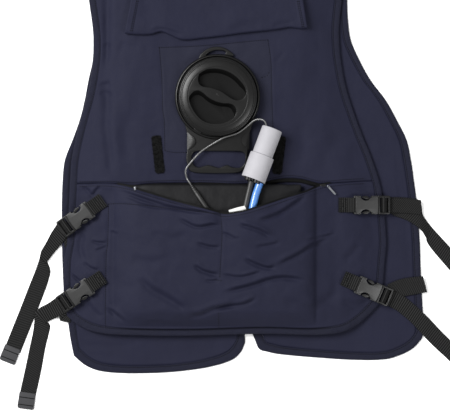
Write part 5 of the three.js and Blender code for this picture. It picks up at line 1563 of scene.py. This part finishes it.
class VEST_OT_panels(bpy.types.Operator):
    """Lay the two front panels and the back panel over them"""

    bl_idname = "vest.panels"
    bl_label = "Panels"

    def execute(self, context):
        high = table_in_mm(MOUTH_HIGH)
        grid_u, grid_v = unit_grid(190, 170)
        u = grid_u[0]
        y_low = read(high, BACK.place(u, np.full_like(u, 0.35), BINDING)[0])
        top = BACK.top(u) - BINDING * BACK.bound(u) - SEAM_GAP
        y = y_low + (top - y_low) * grid_v
        x = inside_bindings(y, grid_u)
        lip = np.exp(-((y - y_low) / 1.6) ** 2)
        upper = sheet_grid(x, y, upper_over(x, y) - lip * 0.7, UPPER_THICK)
        grid_u, grid_v = unit_grid(70, 40)
        base = BACK.hem(grid_u) + BINDING + SEAM_GAP
        y = base + (read(high, BACK.place(grid_u, grid_v, BINDING)[0]) + 6 - base) * grid_v
        x = inside_bindings(y, grid_u)
        lining = sheet_grid(x, y, back_top(x, y) - LINING_UNDER, LINING_THICK)
        points, faces = joined([upper, lining])
        back = new_object("back_cloth", points, faces, finish_of("navy_cloth"))
        marked(back, "faced", self.faced(points[:, 0], points[:, 1]))
        dressed(back, "vest", "navy_cloth", "back_panel")
        self.declare(back, BACK, (0.43, 0.59), ["front_cloth_left", "front_cloth_right"])
        for side, panel in (("left", LEFT_FRONT), ("right", RIGHT_FRONT)):
            x, y = panel.place(*unit_grid(70, 170), BINDING + SEAM_GAP)
            points, faces = sheet_grid(x, y, front_over(x, y), FRONT_THICK)
            points[:, 2] = np.maximum(points[:, 2], 0.0)
            front = new_object(f"front_cloth_{side}", points, faces, finish_of("navy_cloth"))
            dressed(front, "vest", "navy_cloth", f"front_panel_{side}")
            self.declare(front, panel, (0.265, 0.65), ["floor"])
        return {"FINISHED"}

    def faced(self, x, y):
        """1 inside the stitched facing round the port, 0 outside it."""
        top, right, left, foot = (mm(row) for row in STITCH_ROWS["upper"][:4])
        west = read([(b, a) for a, b in left], y)
        east = read([(b, a) for a, b in right], y)
        north = read([(a, b) for a, b in top], x)
        return ((x > west) & (x < east) & (y < north) & (y > foot[0][1])).astype(float)

    def declare(self, piece, panel, flat, under):
        """Work out the areas of the cells of a panel's outline at rest; nothing is done with them."""
        x, y = panel.place(*unit_grid(60, 60), BINDING)
        cells = np.abs((x[1:, 1:] - x[:-1, :-1]) * (y[1:, :-1] - y[:-1, 1:])
                       - (y[1:, 1:] - y[:-1, :-1]) * (x[1:, :-1] - x[:-1, 1:])) / 2


class VEST_OT_bindings(bpy.types.Operator):
    """Fold the binding tape round the panels' edges"""

    bl_idname = "vest.bindings"
    bl_label = "Bindings"

    def execute(self, context):
        def back_heights(x, y):
            return back_under(x, y), back_top(x, y) + BINDING_PROUD

        def front_heights(x, y):
            return np.zeros_like(x), np.full_like(x, FRONT_TOP)

        side = np.linspace(1, 0, 190)
        hem = np.linspace(0, 1, 170)[1:-1]
        around = [(0, v) for v in side] + [(u, 0) for u in hem] + [(1, v) for v in side[::-1]]
        self.band("back_edge_tape", BACK, around, back_heights, "back_binding")
        neck = [(u, 1) for u in np.linspace(0.262, 0.738, 70)]
        self.band("back_neck_tape", BACK, neck, back_heights, "back_neck_binding")
        for name, panel in (("left", LEFT_FRONT), ("right", RIGHT_FRONT)):
            run = [(0, v) for v in side] + [(u, 0) for u in np.linspace(0, 1, 110)[1:-1]]
            run += [(1, v) for v in side[::-1]] + [(u, 1) for u in np.linspace(1, 0.53, 50)[1:]]
            if name == "right":
                run = [(1 - u, v) for u, v in run]
            self.band(f"front_edge_tape_{name}", panel, run, front_heights, f"front_binding_{name}")
        return {"FINISHED"}

    def band(self, name, panel, stops, heights, node):
        """A folded tape: rounded outside, thin at its sewn inner edge, gently puckered."""
        u = np.array([s[0] for s in stops])
        v = np.array([s[1] for s in stops])
        outer = np.stack(panel.place(u, v, 0.0), 1)
        inner = np.stack(panel.place(u, v, BINDING), 1)
        keep = apart(outer, 0.4)
        outer, inner = outer[keep], inner[keep]
        low_out, high_out = heights(outer[:, 0], outer[:, 1])
        low_in, high_in = heights(inner[:, 0], inner[:, 1])
        pucker = np.array([noise.noise(Vector((r / 5.5, 0.4, 2.0))) for r in reach_along(outer)]) * 0.22
        sections = []
        for i in range(len(outer)):
            def at(share, height):
                x, y = outer[i] + (inner[i] - outer[i]) * share
                low = low_out[i] + (low_in[i] - low_out[i]) * share
                high = high_out[i] + (high_in[i] - high_out[i]) * share
                return (x, y, low + (high - low) * height)
            wave = pucker[i] / 3.4
            sections.append([
                at(0.02, 0.12), at(0.12, 0.0), at(0.5, 0.0), at(1.03, 0.02), at(1.03, 0.84),
                at(0.99, 0.9), at(0.88, 0.92 + wave * 0.3), at(0.82, 0.86), at(0.76, 0.93 + wave),
                at(0.45, 1.0 + wave), at(0.2, 0.97 + wave), at(0.06, 0.82), at(0.0, 0.5),
            ])
        moulded(name, [swept(sections)], "navy_binding", "vest", "navy_binding", node)


class VEST_OT_pocket(bpy.types.Operator):
    """Make the water bag, the slack pocket front over it and its zip"""

    bl_idname = "vest.pocket"
    bl_label = "Pocket and bag"

    def execute(self, context):
        self.bag()
        low = table_in_mm(MOUTH_LOW)
        grid_u, grid_v = unit_grid(230, 130)
        hem = BACK.hem(grid_u) + BINDING + SEAM_GAP
        edge = read(low, BACK.place(grid_u, np.full_like(grid_u, 0.2), BINDING)[0])
        for _ in range(3):
            y = hem + (edge - hem) * grid_v
            x = inside_bindings(y, grid_u)
            edge = np.broadcast_to(read(low, x[-1]), x.shape)
        z = pocket_over(x, y)
        near = edge - y
        roll = np.exp(-(near / 1.5) ** 2)
        hemmed = 0.5 * smooth(near / 2) * (1 - smooth((near - 6.4) / 1.6))
        points, faces = sheet_grid(x, y, z - roll * 0.5 + hemmed, POCKET_THICK)
        front = new_object("pocket_cloth", points, faces, finish_of("navy_cloth"))
        dressed(front, "vest", "navy_cloth", "pocket_front")
        self.zipper(front)
        return {"FINISHED"}

    def bag(self):
        """A thin padded bag, blown up a little by a cloth simulation."""
        grid_u, grid_v = unit_grid(90, 70)
        x = BAG_MIDDLE[0] + (grid_u - 0.5) * BAG_HALF[0] * 2
        y = BAG_HEM + grid_v * BAG_TALL
        z = bag_over(np.clip(x, *BAG_WALLS), np.minimum(y, BAG_WALL_TOP)) + ripple(x, y, 40, 0.8, 9.0)
        z -= 2.2 * smooth((BAG_NECK - y) / 12) * smooth((z - ON_PLATEAU) / 8)
        flat = np.full_like(x, ON_PLATEAU)
        points, faces = closed_sheet(np.stack([x, y, z], -1), np.stack([x, y, flat], -1))
        bag = new_object("water_bag_pad", points, faces, finish_of("bag_film"))
        self.blow_up(bag)
        dressed(bag, "vest", "bag_film", "water_bag")

    def blow_up(self, bag):
        """Let pressure round the bag's walls, no further from its shape than a set reach."""
        rested = bag.modifiers.new("even walls", "REMESH")
        rested.mode = "VOXEL"
        rested.voxel_size = 0.004
        even = baked(bag)
        count = len(even.vertices) * 3
        before, after = np.empty(count), np.empty(count)
        even.vertices.foreach_get("co", before)
        blow = bag.modifiers.new("blow", "CLOTH")
        blow.settings.use_pressure = True
        blow.settings.uniform_pressure_force = 4.0
        blow.settings.effector_weights.gravity = 0.0
        blow.point_cache.frame_start = 1
        blow.point_cache.frame_end = BLOW_STEPS
        for step in range(1, BLOW_STEPS + 1):
            bpy.context.scene.frame_set(step)
        bag.evaluated_get(bpy.context.evaluated_depsgraph_get()).data.vertices.foreach_get("co", after)
        bpy.context.scene.frame_set(1)
        bag.modifiers.clear()
        moves = (after - before).reshape(-1, 3)
        far = np.maximum(np.linalg.norm(moves, axis=1, keepdims=True) / BLOW_REACH, 1)
        even.vertices.foreach_set("co", (before.reshape(-1, 3) + moves / far).ravel())
        finer = bag.modifiers.new("finer", "SUBSURF")
        finer.levels = finer.render_levels = 1
        fine = baked(bag)
        fine.polygons.foreach_set("use_smooth", [True] * len(fine.polygons))

    def zipper(self, front):
        """Two tapes along the mouth, their teeth, the sliders and the puller."""
        x = np.linspace(*mm([(end, 0) for end in ZIP_ENDS_PX])[:, 0], 160)
        edge = read(table_in_mm(MOUTH_LOW), x)
        top = dropped(np.stack([x, edge - 1.6], 1), surface_of(front), 0)[:, 2]
        self.tape("lower", x, edge, top, LOWER_TAPE)
        rows = [np.stack([x, edge + 1.6, top - 1.5], 1)]
        edge = read(table_in_mm(MOUTH_HIGH), x)
        top = back_top(x, edge)
        self.tape("upper", x, edge, top, UPPER_TAPE)
        rows.append(np.stack([x, edge - 1.4, top - 0.3], 1))
        teeth = path_object("zip_teeth", rows)
        pitch = bpy.context.scene.vest_look.tooth_pitch
        teeth_tree().run(teeth, Pitch=pitch, Material=finish_of("black_tape"))
        dressed(teeth, "vest", "black_tape")
        self.sliders(front)

    def tape(self, name, x, edge, top, profile):
        sections = [[(a, b + out, h + up) for out, up in profile] for a, b, h in zip(x, edge, top)]
        moulded(f"zip_edge_{name}", [swept(sections)], "black_tape", "vest", "black_tape",
                f"zip_tape_{name}")

    def sliders(self, front):
        """The left slider stands on the pocket's hem, the right one on the panel."""
        on_hem = dropped([mm(SLIDERS["left"][0]) - (0, 3)], surface_of(front), 0.0)[0]
        heights = {"left": float(on_hem[2]), "right": ON_PLATEAU + 1.0}
        for name, (place, turn, size, finish) in SLIDERS.items():
            body = plate([SLIDER_OUTLINE], 0, 2.2, 0.5)
            bridge = plate([oblong(-2.2, 2.2, -0.7)], 2.0, 3.2, 0.4)
            matrix = standing(mm(place), heights[name], turn) @ Matrix.Scale(size, 4)
            points, faces = joined([moved(body, matrix), moved(bridge, matrix)])
            slider = new_object(f"zip_slider_{name}_metal", points, faces, finish_of(finish))
            dressed(slider, "vest", "zip_metal", f"zip_slider_{name}")
        # the black plastic puller takes the silver metal finish: a painted highlight along it
        body = plate([PULLER_OUTLINE, oblong(-7.0, -4.6, -0.5)], 0, 1.4, 0.3)
        points, faces = moved(body, standing(mm(PULLER_PX), ON_PLATEAU + 3.6, PULLER_TURN))
        puller = new_object("zip_puller_tab", points, faces, finish_of("zip_metal"))
        dressed(puller, "vest", "black_plastic", "zip_puller")


class VEST_OT_flap(bpy.types.Operator):
    """Turn up the flap above the filler port"""

    bl_idname = "vest.flap"
    bl_label = "Flap"

    def execute(self, context):
        fine = np.concatenate([
            np.linspace(0, 0.08, 6), np.linspace(0.085, 0.125, 12), np.linspace(0.13, 1, 74),
        ])
        fold = mm(FLAP_EDGE)
        sides = [(mm((left, row))[1], mm((left, row))[0], mm((right, row))[0])
                 for row, left, right in FLAP_SIDES]
        u = np.linspace(0, 1, 120)
        rows = []
        for share, reach, rise in zip(fine, read(FLAP_STEPS, fine, 1), read(FLAP_STEPS, fine, 2)):
            y = flap_edge(fold[0, 0] + (fold[-1, 0] - fold[0, 0]) * u) + reach
            left, right = read(sides, y, 1), read(sides, y, 2)
            x = left + (right - left) * u
            z = np.full_like(x, ON_PLATEAU + 0.75) + rise * FLAP_RISE
            if share > FLAP_TURNS_AT:
                relief = pressed(x, y, FLAP_FOLDS, 1.4)
                relief = relief + ripple(x, y, 36, 1.0, 4.4) + ripple(x, y, 12, 0.12, 6.1)
                hems = 0.45 * (1 - smooth((np.minimum(x - left, right - x) - 8.4) / 1.2))
                z = z + (relief * 0.8 + 0.3) * smooth((share - FLAP_TURNS_AT) / 0.04) + hems
            rows.append(np.stack([x, y, z], -1))
        middle = np.array(rows)
        along = np.gradient(middle, axis=0)
        across = np.gradient(middle, axis=1)
        normal = np.cross(across, along)
        normal /= np.linalg.norm(normal, axis=-1, keepdims=True)
        half = normal * FLAP_HALF_THICK
        points, faces = closed_sheet(middle + half, middle - half)
        flap = new_object("flap_cloth", points, faces, finish_of("navy_cloth"))
        dressed(flap, "vest", "navy_cloth", "port_flap")
        return {"FINISHED"}


class VEST_OT_port(bpy.types.Operator):
    """Make the filler port: collar, hook, handle and screw cap"""

    bl_idname = "vest.port"
    bl_label = "Filler port"

    def execute(self, context):
        collar = ring_lathe(COLLAR_PROFILE, ROUND_STEPS, mm(COLLAR_PX), ON_PLATEAU)
        top = ON_PLATEAU + HANDLE_THICK
        slot = [rounded(mm(HANDLE_OUTLINE)), rounded(mm(HANDLE_SLOT), 0.8)]
        handle = plate(slot, ON_PLATEAU, top, 1.2, 4)
        hook = plate([rounded(mm(HOOK_OUTLINE), 0.7)], ON_PLATEAU, top, 1.2, 4)
        scoops = [self.scoop(*row) for row in SCOOPS]
        catch = plate([mm(CATCH_OUTLINE)], top - 1, ON_PLATEAU + 8.2, 0.5)
        moulded("port_collar_moulding", [collar, handle, hook, catch, *scoops], "black_plastic",
                "vest", "black_plastic", "port_collar", crease=38)
        self.cap()
        return {"FINISHED"}

    def scoop(self, edge, top, bottom, bulge):
        """A lens on the handle's side that slopes down to its edge."""
        y = np.linspace(top, bottom, 24)
        share = np.sin(np.linspace(0, math.pi, 24)) ** 0.8
        sections = []
        for row, part in zip(y, share):
            outer = mm((edge, row))
            inner = mm((edge + (bulge - edge) * part, row))
            line = []
            for t in np.linspace(0, 1, 7):
                x = outer[0] + (inner[0] - outer[0]) * t
                rise = 4.9 + 2.9 * math.sin(t * math.pi / 2) * part
                line.append((x, outer[1], ON_PLATEAU + rise))
            line += [(inner[0], inner[1], ON_PLATEAU + 4.6), (outer[0], outer[1], ON_PLATEAU + 4.0)]
            sections.append(line)
        return swept(sections)

    def cap(self):
        """The screw cap, with its two finger wells as a piece of their own, in a darker plastic that paints
        shade on to the wells.
        """
        port = np.array(PORT)
        base = ON_PLATEAU + CAP_UP
        body = lathe(CAP_PROFILE, ROUND_STEPS, port, base)
        shift = port - mm(RECESS_CENTRE_PX)
        holes = [rounded(mm(outline) + shift, 0.8) for outline in (UPPER_RECESS, LOWER_RECESS)]
        ring = [(port[0] + CAP_TOP_RADIUS * math.cos(t), port[1] + CAP_TOP_RADIUS * math.sin(t))
                for t in np.linspace(0, 2 * math.pi, ROUND_STEPS, endpoint=False)]
        top = plate([ring, *holes], base + CAP_FLOOR - 0.6, base + 11, 0.55, 4)
        bowls = [self.bowl(hole, base + CAP_FLOOR, base + WELL_RIM) for hole in holes]
        dot = lathe(CAP_DOT_PROFILE, 20, mm(CAP_DOT_PX) + shift, base + 10.9)
        # the wells are darker than the cap: painted shade
        moulded("port_cap_wells", bowls, "well_plastic", "cap", "black_plastic", crease=35)
        moulded("port_cap_moulding", [body, top, dot], "black_plastic", "cap", "black_plastic", "port_cap",
                crease=38)

    def bowl(self, rim, floor, top):
        """A finger well: its floor lies a little lower down and left of its rim, with a small fillet."""
        middle = rim.mean(0)
        foot = middle + (rim - middle) * 0.9 + np.array([-1.5, -3.4])
        foot = foot + (rim - foot) * np.clip((middle[1] - rim[:, 1:]) / 12, 0, 1) * 0.8
        skirt = middle + (rim - middle) * 1.02

        def level(outline, height):
            return np.concatenate([outline, np.full((len(rim), 1), height)], 1)

        rings = [level(foot + (foot.mean(0) - foot) * 0.02, floor)]
        for share, height in ((1, floor + 0.1), (0.93, floor + 0.45), (0.86, floor + 1.2),
                              (0.12, top - 0.6), (0, top)):
            rings.append(level(rim + (foot - rim) * share, height))
        return swept([*rings, level(skirt, top), level(skirt, floor - 0.4)])


class VEST_OT_pump(bpy.types.Operator):
    """Make the two-step pump that lies beside the handle"""

    bl_idname = "vest.pump"
    bl_label = "Pump"

    def execute(self, context):
        turn = math.radians(PUMP_TURN)
        axis = Matrix.Rotation(turn, 4, "Z") @ Matrix.Rotation(math.radians(90 + PUMP_TIP), 4, "Y")
        middle = Vector((PUMP_BASE[0] + math.cos(turn) * PUMP_MIDDLE,
                         PUMP_BASE[1] + math.sin(turn) * PUMP_MIDDLE, PUMP_HEIGHT))
        matrix = Matrix.Translation(middle) @ axis @ Matrix.Translation((0, 0, -PUMP_MIDDLE))
        lower = lathe(PUMP_LOWER_PROFILE, 96, (0, 0), 0)
        upper = lathe(PUMP_UPPER_PROFILE, 96, (0, 0), 0)
        nozzles = [lathe([(0, -3.5), (r, -3.5), (r + 0.2, -3), (r + 0.2, 3), (0, 3)], 32, place, 0)
                   for r, place in NOZZLES]
        for name, parts, slot, nodes in (
            ("pump_housing", [lower], "grey_plastic", ["pump_lower"]),
            ("pump_nozzles", nozzles, "black_plastic", []),
            ("pump_neck", [upper], "grey_plastic", ["pump_upper"]),
        ):
            turned = [moved(part, matrix) for part in parts]
            moulded(name, turned, slot, "vest", slot, *nodes, crease=35)
        return {"FINISHED"}


def buckle_axes(name):
    """A buckle's foot and the ways along and across its webs, on the layout."""
    x, y, heading = BUCKLES[name][:3]
    turn = math.radians(heading)
    way = np.array([math.cos(turn), math.sin(turn)])
    return np.array([x, y]), way, np.array([-way[1], way[0]])


def buckle_frame(name):
    """The place of a buckle: its bar's foot, the way it points and how far it tips."""
    x, y, heading = BUCKLES[name][:3]
    tip = math.radians(BUCKLE_TIP)
    turn = Matrix.Rotation(math.radians(heading), 4, "Z") @ Matrix.Rotation(tip, 4, "Y")
    back = turn.inverted()
    foot = Vector(SHIFT) + Vector((x, y, 0))
    node = frame["nodes"][f"buckle_socket_{name}"]
    lowest = min((back @ (Vector(v.co) * 1000 - foot)).z for v in node.data.vertices)
    return Matrix.Translation((x, y, lowest / math.cos(tip))) @ turn


class VEST_OT_buckles(bpy.types.Operator):
    """Make the four side-release buckles"""

    bl_idname = "vest.buckles"
    bl_label = "Buckles"

    def execute(self, context):
        for name in BUCKLES:
            matrix = buckle_frame(name)
            self.piece(f"socket_{name}", self.socket(), matrix, f"buckle_socket_{name}")
            self.piece(f"ladder_{name}", self.ladder(), matrix, f"buckle_ladder_{name}")
        return {"FINISHED"}

    def piece(self, name, parts, matrix, node):
        finish = "buckle_plastic" if name.startswith("socket") else "black_plastic"
        moulded(name, [moved(part, matrix) for part in parts], finish, "vest", "black_plastic", node,
                crease=40)

    def socket(self):
        waist = rounded(WAIST_HALF + [(x, -y) for x, y in reversed(WAIST_HALF)], 0.6)
        top = plate([waist], 6.6, 8.3, 0.6)
        bottom = plate([waist], 0.0, 1.9, 0.6)
        frame_ring = plate([
            [(-1.6, 11.6), (-0.8, 12.5), (8.2, 12.5), (8.2, -12.5), (-0.8, -12.5), (-1.6, -11.6)],
            oblong(1.6, 6.4, 10.4),
        ], 1.6, 6.4, 0.7)
        walls = []
        for s in (1, -1):
            wall = [(22.6, s * 12.4), (31, s * 12.4), (31, s * 10.4), (22.6, s * 10.4)][::s]
            walls.append(plate([wall], 0.8, 7.2, 0.5, 2))
        return [top, bottom, frame_ring, *walls]

    def ladder(self):
        start, end = LADDER_FROM, LADDER_TO
        outline = [
            (start - 0.1, 12.2), (start + 0.6, 12.6), (end - 1.4, 12.6), (end, 11.6), (end, -11.6),
            (end - 1.4, -12.6), (start + 0.6, -12.6), (start - 0.1, -12.2),
        ]
        slots = [oblong(start + 3, start + 8, 9.8), oblong(start + 11, end - 2.4, 9.8)]
        base = plate([outline, *slots], 2.2, 6.0, 0.8)
        shoulder = plate([oblong(start, start + 3, 12.6)], 0.5, 7.5, 0.7)
        arms = []
        for s in (1, -1):
            arm = rounded([(x, s * y) for x, y in ARM_OUTLINE][::s], 0.7)
            arms.append(plate([arm], 2.2, 5.9, 0.7))
        guide = plate([oblong(11, 32, 1.8)], 2.4, 5.6, 0.4, 2)
        return [base, shoulder, *arms, guide]


class VEST_OT_straps(bpy.types.Operator):
    """Thread the webbing through the buckles and lay out its tails"""

    bl_idname = "vest.straps"
    bl_label = "Straps"

    def execute(self, context):
        self.pitch = context.scene.vest_look.rib_pitch * 1000
        for name, (*_, tail_on_top) in BUCKLES.items():
            self.matrix = buckle_frame(name)
            self.anchor(name)
            self.strap(name, tail_on_top)
            self.tip(name)
        return {"FINISHED"}

    def local(self, along, up):
        """A row of plain web at a place in the buckle's own frame: left edge, right edge and no twill."""
        left = self.matrix @ Vector((along, WEB_WIDE / 2, up))
        right = self.matrix @ Vector((along, -WEB_WIDE / 2, up))
        return (*left, *right, 0.0)

    def turn_round(self, along, up, outwards, upper_first):
        """Rows of a web round a bar, seen from its side."""
        bend = BAR_RADIUS + SEAM_GAP + WEB_THICK / 2
        rows = []
        for degrees in (90, 60, 30, 0, -30, -60, -90) if upper_first else (-90, -60, -30, 0, 30, 60, 90):
            t = math.radians(degrees)
            rows.append(self.local(along + outwards * math.cos(t) * bend, up + math.sin(t) * bend))
        return rows

    def ribbon(self, rows):
        """A band of web through rows of left and right edge, ribbed where its twill column is 0."""
        rows = np.array(rows, float)
        middle = (rows[:, 0:3] + rows[:, 3:6]) / 2
        path = along_path(np.concatenate([middle, rows], 1), self.pitch / 5)
        left, right, twill = path[:, 3:6], path[:, 6:9], np.clip(path[:, 9], 0, 1)
        for side in (left, right):
            side[:, 2] = np.maximum(side[:, 2], WEB_THICK / 2 + 0.1)
        centre = (left + right) / 2
        way = np.gradient(centre, axis=0)
        side = left - right
        face = np.cross(way, side)
        face /= np.maximum(np.linalg.norm(face, axis=1, keepdims=True), 1e-9)
        reach = reach_along(centre)
        shares = np.array([0, 0.015, 0.05, 0.2, 0.4, 0.6, 0.8, 0.95, 0.985, 1])
        edge = np.array([0.0, 0.6, 0.92, 1, 1, 1, 1, 0.92, 0.6, 0.0])
        rib = 0.5 + 0.5 * np.sin(2 * math.pi * reach / self.pitch)
        half = WEB_THICK / 2 - 0.3 * (1 - rib) * (1 - twill)
        sections, layout = [], []
        for i in range(len(centre)):
            upper = [left[i] + (right[i] - left[i]) * s + face[i] * half[i] * e for s, e in zip(shares, edge)]
            lower = [left[i] + (right[i] - left[i]) * s - face[i] * half[i] * e for s, e in zip(shares, edge)]
            sections.append(upper + lower[::-1][1:-1])
            layout += [(s, reach[i] / WEB_WIDE) for s in (*shares, *shares[::-1][1:-1])]
        points, faces = swept(sections)
        return points, faces, layout, np.repeat(twill, len(sections[0]))

    def web(self, name, bands, node):
        """One piece of several bands, with the map and the twill of each."""
        points, faces = joined([band[:2] for band in bands])
        layout = [place for band in bands for place in band[2]]
        piece = new_object(name, points, faces, finish_of("black_web"), layout)
        marked(piece, "twill", np.concatenate([band[3] for band in bands]))
        face_outwards(piece, merge=False)
        dressed(piece, "vest", "black_web", node)

    def anchor(self, name):
        """The web from the panel's edge round the socket's bar and back, sewn down in two layers."""
        foot, way, side = buckle_axes(name)
        node = frame["nodes"][f"anchor_web_{name}"]
        places = [Vector(v.co) * 1000 - Vector(SHIFT) for v in node.data.vertices]

        def sewn(along, layer):
            spot = foot + way * along
            near = [p.z for p in places if abs((np.array(p.xy) - foot) @ way - along) < 1.5]
            low = min(near) if near else back_top(*spot) + SEAM_GAP
            height = low + WEB_THICK / 2 + layer * (WEB_THICK + 0.25)
            left, right = spot + side * WEB_WIDE / 2, spot - side * WEB_WIDE / 2
            return (*left, height, *right, height, 0.0)

        rows = [sewn(-21, 0), sewn(-10.5, 0), *self.turn_round(1.0, BAR_UP, 1, False),
                self.local(-3.2, BAR_UP + 2.2), sewn(-10.5, 1), sewn(-20, 1), sewn(-21.5, 1)]
        self.web(f"anchor_{name}", [self.ribbon(rows)], f"anchor_web_{name}")

    def strap(self, name, tail_on_top):
        upper, lower = 1.2, -0.5
        loop = [self.local(LADDER_TO + 1.6, upper), self.local(LADDER_TO - 2.2, upper),
                self.local(LADDER_BAR + 3.4, BAR_UP - 0.6), self.local(LADDER_BAR + 1.8, BAR_UP + 1.9),
                *self.turn_round(LADDER_BAR, BAR_UP, -1, True), self.local(LADDER_BAR + 3, lower),
                self.local(LADDER_TO + 1.6, lower)]
        bands = [self.ribbon(loop)]
        for layers, level in ((TAILS[name], upper if tail_on_top else lower),
                              (FIXED_RUNS[name], lower if tail_on_top else upper)):
            start = self.local(LADDER_TO + 1.2, level)[2]
            for part, rows in enumerate(layers):
                rows = [list(row) for row in rows]
                if part == 0:
                    rows[0][4] = rows[0][5] = start
                bands.append(self.ribbon([self.from_photo(r) for r in rows]))
        self.web(f"strap_{name}", bands, f"strap_web_{name}")

    def from_photo(self, row):
        left, right = mm(row[0:2]), mm(row[2:4])
        return (*left, row[4], *right, row[5], row[6])

    def tip(self, name):
        px, py, heading = TIPS[name]
        matrix = standing(mm((px, py)), 0, heading)
        body = plate([TIP_OUTLINE], 0.05, 2.7, 0.7)
        lines = [plate([oblong(a, a + 1.3, -10.6)], 2.3, 2.8, 0.1, 2) for a in (-4.8, 5.2)]
        moulded(f"tip_{name}", [moved(body, matrix)], "tip_rubber", "vest", "black_plastic",
                f"strap_tip_{name}", crease=40)
        # The lines across the tip use the dark plastic that paints shade in the cap's wells.
        moulded(f"tip_lines_{name}", [moved(line, matrix) for line in lines], "well_plastic",
                "vest", "black_plastic")


class VEST_OT_trim(bpy.types.Operator):
    """Lay the hook tapes beside the port and the small blank tag at the mouth"""

    bl_idname = "vest.trim"
    bl_label = "Hook tapes and tag"

    def execute(self, context):
        tree = bristle_tree()
        for name, (*centre, turn) in HOOK_TAPES.items():
            outline = []
            for right, up, begin in ((1, 1, 0), (-1, 1, 90), (-1, -1, 180), (1, -1, 270)):
                for step in range(5):
                    t = math.radians(begin + step * 22.5)
                    outline.append((right * HOOK_HALF[0] + HOOK_CORNER[0] * math.cos(t),
                                    up * HOOK_HALF[1] + HOOK_CORNER[1] * math.sin(t)))
            strip = plate([outline], 0, 1.0, 0.25, 2)
            points, faces = moved(strip, standing(centre, ON_PLATEAU - 0.1, turn))
            tape = new_object(f"hook_strip_{name}", points, faces, finish_of("black_tape"))
            tree.run(tape, Seed=7, Material=finish_of("black_tape"))
            dressed(tape, "vest", "black_tape", f"hook_tape_{name}")
        self.tag()
        return {"FINISHED"}

    def tag(self):
        """A folded satin tag, left blank."""
        grid_u, grid_v = np.meshgrid(np.linspace(-0.5, 0.5, 24), np.linspace(-0.5, 0.5, 10))
        x = grid_u * TAG_SIZE[0]
        y = grid_v * TAG_SIZE[1] - 1.4 * np.maximum(grid_u, 0)
        z = 0.9 * np.sin(grid_u * 5) + 0.3 * np.cos(grid_v * 6)
        flat = sheet_grid(x, y, z + 1.2, 0.35)
        points, faces = moved(flat, standing(mm(TAG_PX), TAG_HEIGHT, TAG_TURN))
        tag = new_object("blank_tag", points, faces, finish_of("white_tag"))
        dressed(tag, "vest", "white_tag", "pocket_tag")


class VEST_OT_stitching(bpy.types.Operator):
    """Sew every seam that shows"""

    bl_idname = "vest.stitching"
    bl_label = "Stitching"

    def execute(self, context):
        look = context.scene.vest_look
        objects = bpy.data.objects
        grounds = {
            "upper": surface_of(objects["back_cloth"]),
            "pocket": surface_of(objects["pocket_cloth"]),
            "flap": surface_of(objects["flap_cloth"]),
        }
        rows = []
        for ground, lines in STITCH_ROWS.items():
            for line in lines:
                rows.append(dropped(along_path(mm(line), 2), grounds[ground], 0.12))
        for panel, tape in ((BACK, "back_edge_tape"), (LEFT_FRONT, "front_edge_tape_left"),
                            (RIGHT_FRONT, "front_edge_tape_right")):
            tree = surface_of(objects[tape])
            side = np.linspace(0.985, 0.0, 260)
            hem = np.linspace(0, 1, 200)[1:-1]
            u = np.concatenate([np.zeros_like(side), hem, np.ones_like(side)])
            v = np.concatenate([side, np.zeros_like(hem), side[::-1]])
            path = np.stack(panel.place(u, v, BINDING * TAPE_SEAM), 1)
            rows.append(dropped(path[apart(path, 0.3)], tree, 0.05))
        for name in BUCKLES:
            tree = surface_of(objects[f"anchor_{name}"])
            foot, way, side = buckle_axes(name)
            for line in SEWN_BOX:
                spots = [foot + way * a + side * b for a, b in line]
                fine = np.concatenate([np.linspace(p, q, 8) for p, q in zip(spots[:-1], spots[1:])])
                rows.append(dropped(fine, tree, 0.1))
        rows = [row for row in rows if len(row) > 1]
        sewn = path_object("stitching", rows)
        stitch_tree().run(sewn, Pitch=look.stitch_pitch, Length=look.stitch_length,
                          Thick=look.stitch_thick, Material=finish_of("stitch_thread"))
        dressed(sewn, "vest", "navy_binding")
        return {"FINISHED"}


class VEST_PT_panel(bpy.types.Panel):
    """Build the cooling vest piece by piece"""

    bl_label = "Cooling vest"
    bl_idname = "VEST_PT_panel"
    bl_space_type = "VIEW_3D"
    bl_region_type = "UI"
    bl_category = "Cooling vest"

    def draw(self, context):
        for settings in (context.scene.vest_look, context.scene.vest_stage):
            box = self.layout.box()
            for key in settings.__annotations__:
                box.prop(settings, key)
        for step in STEPS:
            self.layout.operator(step.bl_idname)


STEPS = (
    VEST_OT_stage, VEST_OT_cords, VEST_OT_panels, VEST_OT_bindings, VEST_OT_pocket, VEST_OT_flap,
    VEST_OT_port, VEST_OT_pump, VEST_OT_buckles, VEST_OT_straps, VEST_OT_trim, VEST_OT_stitching,
)
CLASSES = (VestLook, VestStage, *STEPS, VEST_PT_panel)


def register():
    for item in CLASSES:
        bpy.utils.register_class(item)
    bpy.types.Scene.vest_look = bpy.props.PointerProperty(type=VestLook)
    bpy.types.Scene.vest_stage = bpy.props.PointerProperty(type=VestStage)


def unregister():
    del bpy.types.Scene.vest_stage
    del bpy.types.Scene.vest_look
    for item in reversed(CLASSES):
        bpy.utils.unregister_class(item)


def main():
    register()
    for step in STEPS:
        group, name = step.bl_idname.split(".")
        getattr(getattr(bpy.ops, group), name)()


if __name__ == "__main__":
    main()
